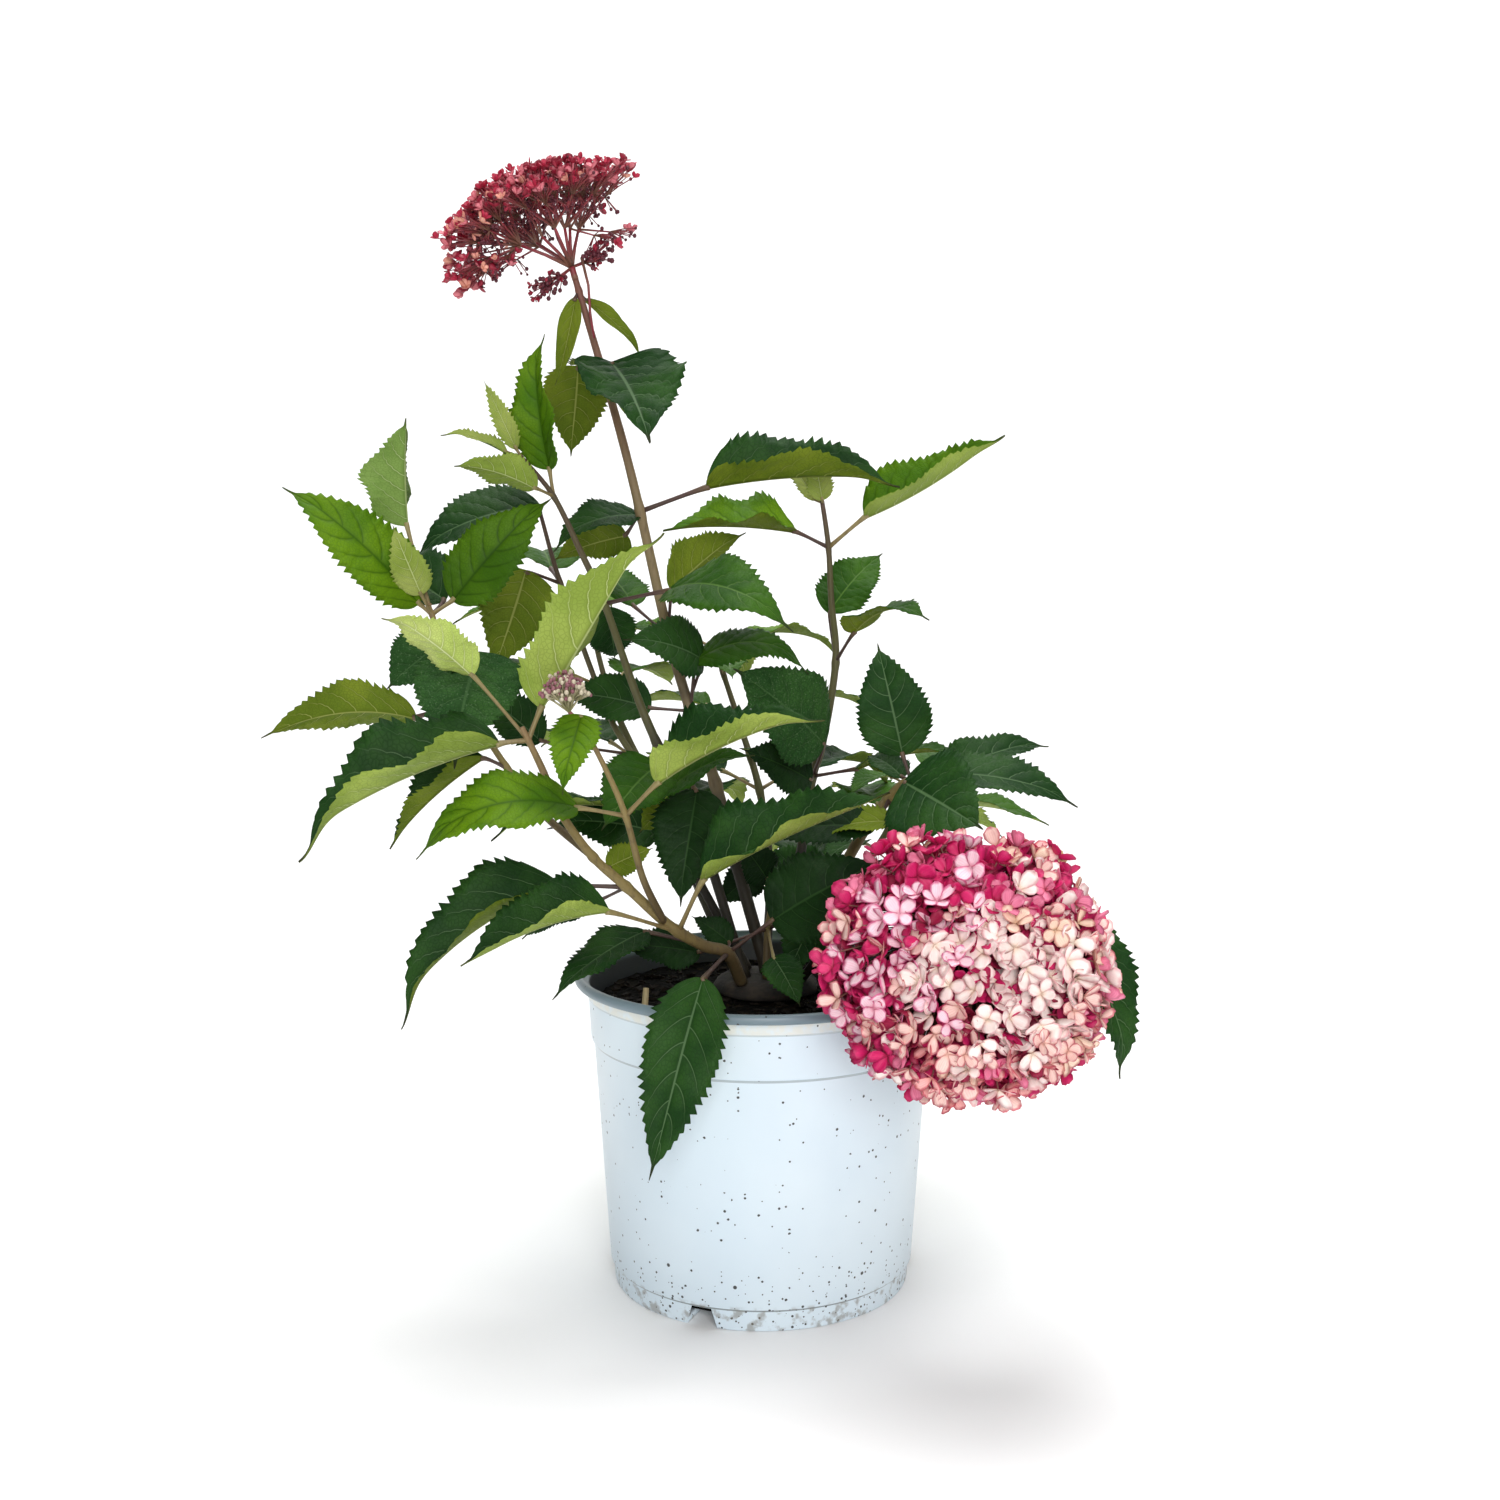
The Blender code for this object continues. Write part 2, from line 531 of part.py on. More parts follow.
def make_stool(collection):
    """The woody stool that the canes stand on."""
    profile = [
        (0, SOIL_TOP + CLEAR), (STOOL_RADIUS + 1, SOIL_TOP + CLEAR), (STOOL_RADIUS + 3, SOIL_TOP + 3),
        (STOOL_RADIUS, STOOL_TOP - 2), (STOOL_RADIUS - 3, STOOL_TOP), (0, STOOL_TOP),
    ]
    stool = turned("root_crown", profile, 18, collection)
    stool.data.transform(Matrix.Translation((STOOL_CENTRE[0] * MM, STOOL_CENTRE[1] * MM, 0)))
    paint(stool, "old_wood", (0.16, 0.11, 0.07), 0.85)


def make_limbs(collection, cutters):
    for node, cane, start, end in LIMBS:
        limb = new_object(node, lambda bm: cane_tube(bm, cane, start, end), collection)
        if node in BRANCHES:
            parent = BRANCHES[node]
            cut(limb, [lambda bm: cane_tube(bm, parent, 2.2, 6.4, 9, CLEAR + 0.25)], cutters)
            keep_largest(limb)
        paint(limb, node + "_bark", (0.42, 0.30, 0.17), 0.7)


def keep_largest(obj):
    """Drops every loose scrap but the piece with the most vertices."""
    bm = bmesh.new()
    bm.from_mesh(obj.data)
    left = set(bm.verts)
    pieces = []
    while left:
        piece = {left.pop()}
        edge = set(piece)
        while edge:
            edge = {e.other_vert(v) for v in edge for e in v.link_edges} - piece
            piece |= edge
        left -= piece
        pieces.append(piece)
    keep = max(pieces, key=len)
    bmesh.ops.delete(bm, geom=[v for v in bm.verts if v not in keep], context="VERTS")
    bm.to_mesh(obj.data)
    bm.free()


def rear_leaves(heading, places, chance):
    """Pairs of leaves by rule: each pair crosses the one below and grows smaller upwards."""
    records = []
    for k, at in enumerate(places):
        for side in ((64, -64), (0, 180))[k % 2]:
            turn = heading + side + chance.uniform(-8, 8)
            size = REAR_LEAF * (0.5 if side == 180 else 1.0 - 0.06 * k) * chance.uniform(0.94, 1.06)
            records.append((at, turn, 24, REAR_STALK * size / REAR_LEAF, turn + chance.uniform(-10, 10),
                            chance.uniform(-12, 0), size, turn, 74, 0.58, 0.11, 11))
    return records


def all_shoots():
    chance = random.Random(REAR_SEED)
    rear = [(node, cane, start, end, rear_leaves(heading, places, chance) + INNER_LEAVES.get(node, []))
            for node, cane, start, end, heading, places in REAR_SHOOTS]
    return SHOOTS + rear


def make_shoots(collection):
    for node, cane, start, end, records in all_shoots():
        makers = [lambda bm: cane_tube(bm, cane, start, end)]
        for record in records:
            root = on_cane(cane_points(cane), record[0])
            makers.append(lambda bm, root=root, record=record: leaf(bm, root, record))
        shoot = join(node, makers, collection)
        keep_largest(shoot)
        paint(shoot, node + "_green", (0.07, 0.20, 0.04), 0.55)


def star(bm, centre, out, turn, reach, dip, depth, lobes):
    """A floret as a solid star: lobes round a shallow cup, and a point that roots it."""
    side = out.orthogonal().normalized()
    other = out.cross(side)
    rim = []
    for k in range(2 * lobes):
        a = turn + math.pi * k / lobes
        r = reach if k % 2 == 0 else dip
        rise = 0.16 * reach if k % 2 == 0 else 0.0
        rim.append(bm.verts.new(centre + r * (math.cos(a) * side + math.sin(a) * other) + out * rise))
    cup = bm.verts.new(centre - out * 0.05 * reach)
    root = bm.verts.new(centre - out * depth)
    for k in range(2 * lobes):
        n = (k + 1) % (2 * lobes)
        bm.faces.new((cup, rim[k], rim[n]))
        bm.faces.new((root, rim[n], rim[k]))


def bloom_reach(angle):
    """The mophead's reach at this angle, between the twelfths that are measured."""
    place = (angle / (2 * math.pi) * 12) % 12
    i = int(place)
    t = 0.5 - 0.5 * math.cos(math.pi * (place - i))
    return BLOOM_REACH[i] * (1 - t) + BLOOM_REACH[(i + 1) % 12] * t


def bloom_point(angle, polar, share):
    """A point of the mophead: polar is 0 at the front and 90 at its rim."""
    reach = bloom_reach(angle) * share
    depth = (BLOOM_FRONT if polar < math.pi / 2 else BLOOM_BACK) * share
    return Vector(BLOOM_CENTRE) + Vector((
        reach * math.sin(polar) ** 0.8 * math.cos(angle), -depth * math.cos(polar),
        reach * math.sin(polar) ** 0.8 * math.sin(angle)))


def bloom_core(bm):
    """The close heart of the mophead, which the florets stand out of."""
    rings = []
    for polar in (14, 32, 50, 68, 86, 108, 135, 160):
        rings.append([bloom_point(2 * math.pi * k / 14, math.radians(polar), 0.82) for k in range(14)])
    loft(bm, rings)


def bloom_florets():
    """Places of the florets, spread by the golden angle from the front to behind the rim."""
    chance = random.Random(5)
    for k in range(BLOOM_FLORETS):
        polar = math.acos(1 - 1.22 * ((k + 0.5) / BLOOM_FLORETS) ** 1.15)
        angle = k * GOLDEN
        centre = bloom_point(angle, polar, 0.95 + chance.uniform(-0.03, 0.03))
        inner = bloom_point(angle, polar, 0.7)
        yield centre, (centre - inner).normalized(), chance.uniform(0, math.pi / 2)


def make_mophead(collection):
    points = cane_points("bloom")
    makers = [bloom_core, lambda bm: cane_tube(bm, "bloom", 5.6, 7.0)]
    for centre, out, turn in bloom_florets():
        makers.append(lambda bm, c=centre, o=out, t=turn: star(
            bm, c, o, t, FLORET_REACH, FLORET_NOTCH, FLORET_DEPTH, 4))
    bloom = join("bloom_mophead", makers, collection)
    keep_largest(bloom)
    paint(bloom, "mophead_petals", (0.80, 0.28, 0.42), 0.6)


def corymb_rays(hub, centre, tilt, reach, dome, rays, twigs, low, seed):
    """The forks and ends of a flat cluster: rays from the hub, each forking into twigs."""
    chance = random.Random(seed)
    lean = math.radians(tilt)
    flat_x = Vector((math.cos(lean), 0, math.sin(lean)))
    flat_y = Vector((0, 1, 0))
    up = Vector((-math.sin(lean), 0, math.cos(lean)))
    forks = []
    total = rays * twigs
    ends = []
    for k in range(total):
        share = math.sqrt((k + 0.5) / total)
        a = k * GOLDEN
        at = centre + flat_x * reach[0] * share * math.cos(a) + flat_y * reach[1] * share * math.sin(a)
        ends.append(at + up * dome * (1 - share * share) * chance.uniform(0.75, 1.1))
    ends += [Vector(p) for p in low]
    for k in range(rays):
        a = 2 * math.pi * k / rays
        out = 0.62 if k % 2 else 0.34
        at = centre + flat_x * reach[0] * out * math.cos(a) + flat_y * reach[1] * out * math.sin(a)
        forks.append(hub.lerp(at, 0.58))
    pairs = [(min(range(rays), key=lambda f, e=end: (forks[f] - e).length), end) for end in ends]
    return forks, pairs, up


def make_corymb(node, hub, centre, tilt, reach, dome, rays, twigs, low, thick, size, collection, colour):
    hub = Vector(hub)
    forks, pairs, up = corymb_rays(hub, Vector(centre), tilt, reach, dome, rays, twigs, low, 3)
    cane, start = ("tall", 8.7) if node == "corymb_top" else ("front", 4.4)
    makers = [lambda bm: cane_tube(bm, cane, start, len(CANES[cane][0]) - 1)]
    for fork in forks:
        makers.append(lambda bm, f=fork: tube(bm, [hub, f], [thick, 0.8 * thick], 4))
    for k, (f, end) in enumerate(pairs):
        root = forks[f] - (forks[f] - hub).normalized() * thick
        makers.append(lambda bm, r=root, e=end: tube(bm, [r, e], [0.75 * thick, 0.6 * thick], 3))
        out = (up + 0.5 * (end - hub).normalized()).normalized()
        makers.append(lambda bm, e=end, o=out, k=k: star(
            bm, e + o * 0.25 * size, o, k * 1.1, size, 0.6 * size, 0.9 * size, 3))
    cluster = join(node, makers, collection)
    keep_largest(cluster)
    paint(cluster, node + "_petals", colour, 0.6)


def build():
    clear_scene()
    scene = bpy.context.scene
    plant = bpy.data.collections.new("potted_hydrangea")
    cutters = bpy.data.collections.new("cutters")
    scene.collection.children.link(plant)
    scene.collection.children.link(cutters)
    make_pot(plant, cutters)
    make_soil(plant)
    make_stool(plant)
    make_limbs(plant, cutters)
    make_shoots(plant)
    make_mophead(plant)
    make_corymb("corymb_top", CORYMB_HUB, CORYMB_CENTRE, CORYMB_TILT, CORYMB_REACH, CORYMB_DOME,
                CORYMB_RAYS, CORYMB_TWIGS, CORYMB_LOW, 1.2, 9.0, plant, (0.45, 0.03, 0.10))
    make_corymb("corymb_small", BUD_HUB, BUD_CENTRE, 0.0, BUD_REACH, 5.0, 4, 2, [], 0.7, 4.2, plant,
                (0.35, 0.10, 0.20))
    bpy.data.collections.remove(cutters)


build()
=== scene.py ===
"""A smooth hydrangea in its nursery pot: woody canes, toothed leaves in crossed pairs, one heavy
mophead leaning over the rim, a flat crimson cluster on top and an unopened one in front.
Lengths below are in millimetres unless said otherwise; the pot stands on z = 0."""

import json
import math
import random

import bmesh
import bpy
import numpy as np
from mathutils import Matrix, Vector, noise

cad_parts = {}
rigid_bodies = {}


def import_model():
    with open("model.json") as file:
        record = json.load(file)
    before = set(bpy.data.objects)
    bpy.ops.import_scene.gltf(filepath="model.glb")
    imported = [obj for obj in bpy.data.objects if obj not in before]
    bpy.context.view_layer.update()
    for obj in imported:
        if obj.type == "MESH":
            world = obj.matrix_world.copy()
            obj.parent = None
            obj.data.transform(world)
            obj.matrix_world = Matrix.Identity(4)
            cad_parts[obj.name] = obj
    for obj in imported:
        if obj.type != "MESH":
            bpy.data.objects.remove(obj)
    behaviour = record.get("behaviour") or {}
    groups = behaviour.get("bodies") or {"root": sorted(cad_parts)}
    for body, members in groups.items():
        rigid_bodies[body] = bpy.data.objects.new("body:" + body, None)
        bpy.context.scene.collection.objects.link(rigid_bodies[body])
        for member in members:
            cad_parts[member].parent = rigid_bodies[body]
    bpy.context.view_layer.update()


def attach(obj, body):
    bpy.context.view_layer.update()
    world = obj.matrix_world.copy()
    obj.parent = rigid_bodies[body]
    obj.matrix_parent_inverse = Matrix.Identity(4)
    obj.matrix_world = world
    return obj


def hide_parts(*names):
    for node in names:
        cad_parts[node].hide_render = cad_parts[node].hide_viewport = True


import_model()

# The pot: blow-moulded pale plastic with a rolled blue-grey lip, a raised band, a thin line of
# painted shade under the lip and a foot band with three drainage notches. Its wall is turned from
# one outline, and the notches are cut through afterwards.
POT_OUTLINE = [
    (0, 0), (88.4, 0), (89.8, 0.5), (90.2, 1.6), (90.8, 12.4), (91.1, 13.0), (92.2, 13.3), (92.7, 14.0),
    (101.7, 148.6), (101.9, 149.8), (102.4, 150.6), (103.3, 151.3), (103.7, 152.6), (105.0, 176.4),
    (105.0, 176.9), (105.7, 177.3), (105.9, 178.0), (106.4, 184.0), (107.0, 184.8), (110.6, 184.9),
    (112.4, 185.2), (113.2, 186.2), (113.3, 187.8), (112.9, 189.4), (111.9, 190.5), (110.8, 190.8),
    (109.7, 190.6), (109.1, 189.9), (108.6, 188.4), (106.4, 186.6), (104.9, 185.7), (104.2, 184.0),
    (101.6, 152.0), (99.9, 149.0), (90.9, 15.0), (89.6, 10.0), (85.6, 7.0), (0, 7.0)]
POT_STEPS = 176
NOTCH_TURNS = [math.radians(-112.6 + 120 * k) for k in range(3)]
DIMPLE_TURN = math.radians(-104.4)
# Colours of the pot's wall and of its grey parts, each as two tones that a soft noise mixes.
WALL_TONES = (0.63, 0.735, 0.81), (0.69, 0.785, 0.845)
GREY_TONES = (0.11, 0.16, 0.19), (0.20, 0.27, 0.31)
CREAM_TONE = (0.70, 0.69, 0.61)
# Painted shade: the dark lines in the grooves at the wall's steps.
GROOVE_SHADE_TONE = (0.15, 0.17, 0.16)
# Painted shade: the inside of the pot darkens to near black below the lip.
INSIDE_SHADE_TONE = (0.030, 0.036, 0.040)
DIRT_TONE = (0.020, 0.018, 0.016)
SMEAR_TONE = (0.20, 0.17, 0.13)
# Heights in metres, which the pot's material works in: each groove from and to, with the darkness
# of the shade painted in it; where the wall steps out to its band; and where it is grey and dirty.
GROOVES = [(0.1494, 0.1512, 0.50), (0.0122, 0.0139, 0.75), (0.1766, 0.1779, 0.30)]
CREAM_RIM = (0.1765, 0.1785)
LIP_EDGE = (0.1846, 0.1852)
BAND_STEP = 0.1525
FLOOR_TOP = 0.0142
DIRTY_FOOT = 0.045
SMEARED = (0.0165, 0.0125)
# The middle of the wall as a radius: its slope, its radius at the foot, and the band's step.
WALL_MIDDLE = (0.0667, 0.0910, 0.0016)
# Specks of three sizes: cells a metre, size, and the share of cells added at the foot and above.
SPECKS = [(520.0, 0.46, 0.34, 0.050), (260.0, 0.30, 0.12, 0.026), (120.0, 0.19, 0.10, 0.016)]


def piece(bm, name, materials, crease=40):
    """A finished piece, at the origin, from a bmesh drawn in millimetres."""
    bmesh.ops.scale(bm, vec=(0.001, 0.001, 0.001), verts=bm.verts)
    mesh = bpy.data.meshes.new(name)
    bm.to_mesh(mesh)
    bm.free()
    mesh.shade_smooth()
    mesh.set_sharp_from_angle(angle=math.radians(crease))
    for material in materials:
        mesh.materials.append(material)
    obj = bpy.data.objects.new(name, mesh)
    bpy.context.scene.collection.objects.link(obj)
    return obj


def turn(bm, outline, steps):
    """Spins an outline of radius and height right round the Z axis."""
    line = [bm.verts.new((radius, 0, z)) for radius, z in outline]
    links = [bm.edges.new(pair) for pair in zip(line, line[1:])]
    bmesh.ops.spin(bm, geom=line + links, cent=(0, 0, 0), axis=(0, 0, 1), dvec=(0, 0, 0),
                   angle=2 * math.pi, steps=steps, use_merge=True)
    bmesh.ops.remove_doubles(bm, verts=bm.verts, dist=0.001)
    bmesh.ops.recalc_face_normals(bm, faces=bm.faces)


def level(angle):
    """The level unit vector at this angle from the X axis."""
    return Vector((math.cos(angle), math.sin(angle), 0))


def swing(bm, verts, start, end):
    """Turns corners about the origin, so that what pointed along start points along end."""
    bmesh.ops.rotate(bm, verts=verts, cent=(0, 0, 0),
                     matrix=Vector(start).rotation_difference(Vector(end)).to_matrix())


def cone(bm, sides, foot, top, height):
    """The corners of a new cut cone about the Z axis, its middle at the origin."""
    made = bmesh.ops.create_cone(bm, cap_ends=True, segments=sides, radius1=foot, radius2=top, depth=height)
    return made["verts"]


def node(tree, kind, into=None, **settings):
    """Adds a shader node, with its settings and what goes into its sockets."""
    made = tree.nodes.new("ShaderNode" + kind)
    for key, value in settings.items():
        setattr(made, key, value)
    for socket, value in (into or {}).items():
        if isinstance(value, bpy.types.NodeSocket):
            tree.links.new(value, made.inputs[socket])
        else:
            made.inputs[socket].default_value = value
    return made


def maths(tree, operation, a, b=0.0, c=0.0):
    """A sum on two or three numbers or sockets."""
    return node(tree, "Math", {0: a, 1: b, 2: c}, operation=operation).outputs[0]


def times(tree, a, b):
    """The product of two numbers or sockets."""
    return maths(tree, "MULTIPLY", a, b)


def between(tree, value, low, high, start=0.0, end=1.0):
    """Turns the range low to high smoothly into start to end."""
    return node(tree, "MapRange", {"Value": value, "From Min": low, "From Max": high, "To Min": start,
                                   "To Max": end}, interpolation_type="SMOOTHSTEP").outputs["Result"]


def blend(tree, share, a, b, kind="MIX"):
    """Mixes two colours by a share."""
    mix = node(tree, "Mix", data_type="RGBA", blend_type=kind)
    for index, value in ((0, share), (6, a), (7, b)):
        if isinstance(value, bpy.types.NodeSocket):
            tree.links.new(value, mix.inputs[index])
        else:
            mix.inputs[index].default_value = value if index == 0 else (*value, 1.0)
    return mix.outputs[2]


def tint(tree, colour, other, mask, most=1.0):
    """Mixes another colour into this one where the mask is 1, up to the share `most`."""
    return blend(tree, times(tree, mask, most), colour, other)


def cloud(tree, place, scale, detail=3.0):
    """Soft noise from 0 to 1, with this many lumps a metre."""
    return node(tree, "TexNoise", {"Vector": place, "Scale": scale, "Detail": detail}).outputs["Fac"]


def here(tree):
    """The place on the piece, in metres."""
    return node(tree, "TexCoord").outputs["Object"]


def finish(name, roughness=0.5):
    """A new material: its tree and its Principled shader."""
    material = bpy.data.materials.new(name)
    material.use_nodes = True
    shader = material.node_tree.nodes["Principled BSDF"]
    shader.inputs["Roughness"].default_value = roughness
    return material, material.node_tree, shader


def paint(tree, shader, colour, specular=0.5):
    """Gives the shader its colour and how much it shines."""
    tree.links.new(colour, shader.inputs["Base Color"])
    shader.inputs["Specular IOR Level"].default_value = specular


def relief(tree, shader, height, strength, distance):
    """Bumps the surface by a height."""
    bump = node(tree, "Bump", {"Height": height, "Strength": strength, "Distance": distance})
    tree.links.new(bump.outputs["Normal"], shader.inputs["Normal"])


def new_group(name, inputs, outputs):
    """A node group with these inputs and numbers out: its tree, what comes in and what goes out."""
    tree = bpy.data.node_groups.new(name, "ShaderNodeTree")
    for key, kind in inputs.items():
        tree.interface.new_socket(key, in_out="INPUT", socket_type="NodeSocket" + kind)
    for key in outputs:
        tree.interface.new_socket(key, in_out="OUTPUT", socket_type="NodeSocketFloat")
    return tree, tree.nodes.new("NodeGroupInput").outputs, tree.nodes.new("NodeGroupOutput").inputs


def specks_group():
    """Scattered specks of dirt: a mask from Object coordinates, a scale, a size and a share."""
    tree, given, made = new_group(
        "dirt_specks", {"Place": "Vector", "Scale": "Float", "Size": "Float", "Share": "Float"}, ["Mask"])
    cells = node(tree, "TexVoronoi", {"Vector": given["Place"], "Scale": given["Scale"]})
    lot = node(tree, "SeparateColor", {"Color": cells.outputs["Color"]}).outputs
    near = maths(tree, "LESS_THAN", cells.outputs["Distance"], times(tree, given["Size"], lot[1]))
    some = maths(tree, "LESS_THAN", lot[0], given["Share"])
    tree.links.new(times(tree, near, some), made["Mask"])
    return tree


def pot_finish():
    """Pale bluish plastic, greyer inside and on the lip, with specks that thicken at the foot, and painted
    shade in its grooves and inside below the lip.
    """
    material, tree, shader = finish("pot_plastic", 0.38)
    place = here(tree)
    x, y, height = node(tree, "SeparateXYZ", {0: place}).outputs
    spread = cloud(tree, place, 9.0)
    fine = cloud(tree, place, 160.0)
    wall = blend(tree, between(tree, spread, 0.35, 0.7), *WALL_TONES)
    cream = times(tree, between(tree, height, *CREAM_RIM), between(tree, fine, 0.25, 0.62))
    wall = tint(tree, wall, CREAM_TONE, cream, 0.75)
    slope, foot_radius, step = WALL_MIDDLE
    radius = maths(tree, "SQRT", maths(tree, "ADD", times(tree, x, x), times(tree, y, y)))
    middle = maths(tree, "MULTIPLY_ADD", height, slope, foot_radius)
    middle = maths(tree, "MULTIPLY_ADD", maths(tree, "GREATER_THAN", height, BAND_STEP), step, middle)
    inside = times(tree, maths(tree, "LESS_THAN", radius, middle),
                   maths(tree, "GREATER_THAN", height, FLOOR_TOP))
    lip = maths(tree, "MAXIMUM", between(tree, height, *LIP_EDGE), inside)
    # Shade painted in the grooves at the wall's steps, as dark lines.
    for low, high, share in GROOVES:
        groove = times(tree, maths(tree, "GREATER_THAN", height, low),
                       maths(tree, "LESS_THAN", height, high))
        wall = tint(tree, wall, GROOVE_SHADE_TONE, groove, share)
    grey = blend(tree, spread, *GREY_TONES)
    # Painted shade inside the pot, near black below the lip.
    grey = tint(tree, grey, INSIDE_SHADE_TONE, inside, between(tree, height, 0.1885, 0.182))
    wall = blend(tree, lip, wall, grey)
    foot = between(tree, height, DIRTY_FOOT, 0.0)
    tiny, small, large = [
        node(tree, "Group", {"Place": place, "Scale": scale, "Size": size,
                             "Share": maths(tree, "MULTIPLY_ADD", foot, more, share)},
             node_tree=specks).outputs["Mask"] for scale, size, more, share in SPECKS]
    dots = maths(tree, "MAXIMUM", tiny, maths(tree, "MAXIMUM", small, large))
    wall = tint(tree, wall, DIRT_TONE, dots, 0.95)
    smear = times(tree, between(tree, height, *SMEARED), between(tree, fine, 0.50, 0.66))
    paint(tree, shader, tint(tree, wall, SMEAR_TONE, smear, 0.6))
    relief(tree, shader, spread, 0.25, 0.0015)
    return material


specks = specks_group()
bm = bmesh.new()
turn(bm, POT_OUTLINE, POT_STEPS)
dimple = cone(bm, 20, 2.3, 1.7, 1.2)
swing(bm, dimple, (0, 0, 1), level(DIMPLE_TURN))
bmesh.ops.translate(bm, verts=dimple, vec=(-22.5, -87.9, 8.6))
pot = piece(bm, "pot_wall", [pot_finish()], 50)
for k, turned in enumerate(NOTCH_TURNS):
    bm = bmesh.new()
    wedge = cone(bm, 4, 14.9, 8.6, 14.4)
    swing(bm, wedge, (1, 0, 0), level(math.pi / 4))
    bmesh.ops.scale(bm, vec=(1.6, 1, 1), verts=wedge)
    bmesh.ops.translate(bm, vec=(82, 0, 4.9), verts=wedge)
    swing(bm, wedge, (1, 0, 0), level(turned))
    cutter = piece(bm, f"notch_{k}", [])
    away = pot.modifiers.new("notch", "BOOLEAN")
    away.operation = "DIFFERENCE"
    away.solver = "EXACT"
    away.object = cutter
bpy.context.view_layer.update()
cut = bpy.data.meshes.new_from_object(pot.evaluated_get(bpy.context.evaluated_depsgraph_get()))
pot.modifiers.clear()
pot.data = cut
for k in range(len(NOTCH_TURNS)):
    bpy.data.objects.remove(bpy.data.objects[f"notch_{k}"], do_unlink=True)
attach(pot, "root")
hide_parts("pot")

# The potting mix: near-black composted bark and peat, pressed level and dipping a little at the
# wall. Its top is roughened, and chips of bark and one pale stick lie on it.
SOIL_OUTLINE = [(0, 7.3), (83.9, 7.3), (89.3, 14), (99.0, 150), (99.9, 171.8)]
SOIL_TOP_RINGS = [98.8, 97.5] + [94 - 4 * k for k in range(23)]
SOIL_LEVEL = 173.6
CHIPS = 420
CHIPS_REACH = 95
CHIPS_LEVEL = 174.2


def soil_finish():
    """Damp peat and bark: near-black crumbs, some of them paler."""
    material, tree, shader = finish("bark_mix", 0.9)
    place = here(tree)
    crumbs = node(tree, "TexVoronoi", {"Vector": place, "Scale": 260.0}).outputs
    lot = node(tree, "SeparateColor", {"Color": crumbs["Color"]}).outputs[0]
    dark = blend(tree, cloud(tree, place, 60.0, 5.0), (0.0010, 0.0010, 0.0008), (0.0032, 0.0028, 0.0019))
    paint(tree, shader, blend(tree, between(tree, lot, 0.8, 0.95), dark, (0.012, 0.008, 0.005)), 0.05)
    relief(tree, shader, crumbs["Distance"], 0.6, 0.002)
    return material


def grained(name, roughness, lumps, tones, steps=None, specular=0.5, bump=None):
    """Chips, stick or old wood: two tones mixed by a grain, which also roughens the surface."""
    material, tree, shader = finish(name, roughness)
    grain = cloud(tree, here(tree), *lumps)
    share = between(tree, grain, *steps) if steps else grain
    paint(tree, shader, blend(tree, share, *tones), specular)
    if bump:
        relief(tree, shader, grain, *bump)
    return material


bm = bmesh.new()
turn(bm, SOIL_OUTLINE + [(radius, SOIL_LEVEL) for radius in SOIL_TOP_RINGS] + [(0, SOIL_LEVEL)], 120)
for v in bm.verts:
    if v.co.z > 173:
        lumps = noise.noise(v.co * 0.11) * 1.6 + noise.noise(v.co * 0.35) * 1.1
        v.co.z += min(1.3, max(-1.6, lumps))
mix = piece(bm, "potting_mix_bed", [soil_finish()], 60)
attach(mix, "root")
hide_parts("potting_mix")

chance = random.Random(31)
bm = bmesh.new()
for k in range(CHIPS):
    reach = CHIPS_REACH * math.sqrt(chance.random())
    angle = chance.uniform(0, 2 * math.pi)
    chip = bmesh.ops.create_cube(bm, size=1.0)["verts"]
    size = chance.uniform(2.0, 7.5)
    bmesh.ops.scale(bm, vec=(size, size * chance.uniform(0.3, 0.6), chance.uniform(0.7, 1.8)), verts=chip)
    for v in chip:
        v.co += Vector([chance.uniform(-most, most) for most in (0.8, 0.5, 0.3)])
    lean = Vector((chance.uniform(-0.35, 0.35), chance.uniform(-0.35, 0.35), 1)).normalized()
    swing(bm, chip, (0, 0, 1), lean)
    swing(bm, chip, (1, 0, 0), level(chance.uniform(0, 2 * math.pi)))
    bmesh.ops.translate(bm, verts=chip, vec=(reach * math.cos(angle), reach * math.sin(angle), CHIPS_LEVEL))
chips = piece(bm, "bark_chips", [grained("bark_chips", 0.85, (220.0, 4.0), (
    (0.0015, 0.0013, 0.0011), (0.013, 0.009, 0.006)), (0.3, 0.7), 0.10, (0.5, 0.001))], 30)
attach(chips, "root")

bm = bmesh.new()
stick = cone(bm, 7, 2.1, 1.7, 19)
swing(bm, stick, (0, 0, 1), Vector((0.05, 0.30, 0.85)).normalized())
bmesh.ops.translate(bm, verts=stick, vec=(-68, -50, 181))
stick = piece(bm, "dry_stick", [grained("dry_stick", 0.8, (300.0, 3.0), (
    (0.34, 0.26, 0.13), (0.55, 0.46, 0.27)))], 40)
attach(stick, "root")

# The woody stool: the old wood at soil level that all the canes spring from, knotted where
# earlier canes were cut.
STOOL_OUTLINE = [(0, 175.4), (31, 175.4), (33, 176.6), (33.5, 178.5), (32, 181.5), (30.5, 183.2), (27, 184.3),
                 (22, 184.8), (14, 184.9), (7, 184.9), (0, 184.9)]
STOOL_PLACE = Vector((3, 8, 0))

bm = bmesh.new()
turn(bm, STOOL_OUTLINE, 56)
bmesh.ops.translate(bm, vec=STOOL_PLACE, verts=bm.verts)
for v in bm.verts:
    out = Vector((v.co.x - STOOL_PLACE.x, v.co.y - STOOL_PLACE.y, 0))
    if out.length > 20:
        v.co -= out.normalized() * (1.2 + 1.6 * noise.noise(v.co * 0.13))
stool = piece(bm, "woody_stool", [grained("old_wood", 0.88, (95.0, 6.0), (
    (0.004, 0.0034, 0.0026), (0.022, 0.015, 0.009)), (0.35, 0.68), 0.5, (0.8, 0.002))], 60)
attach(stool, "root")
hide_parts("root_crown")

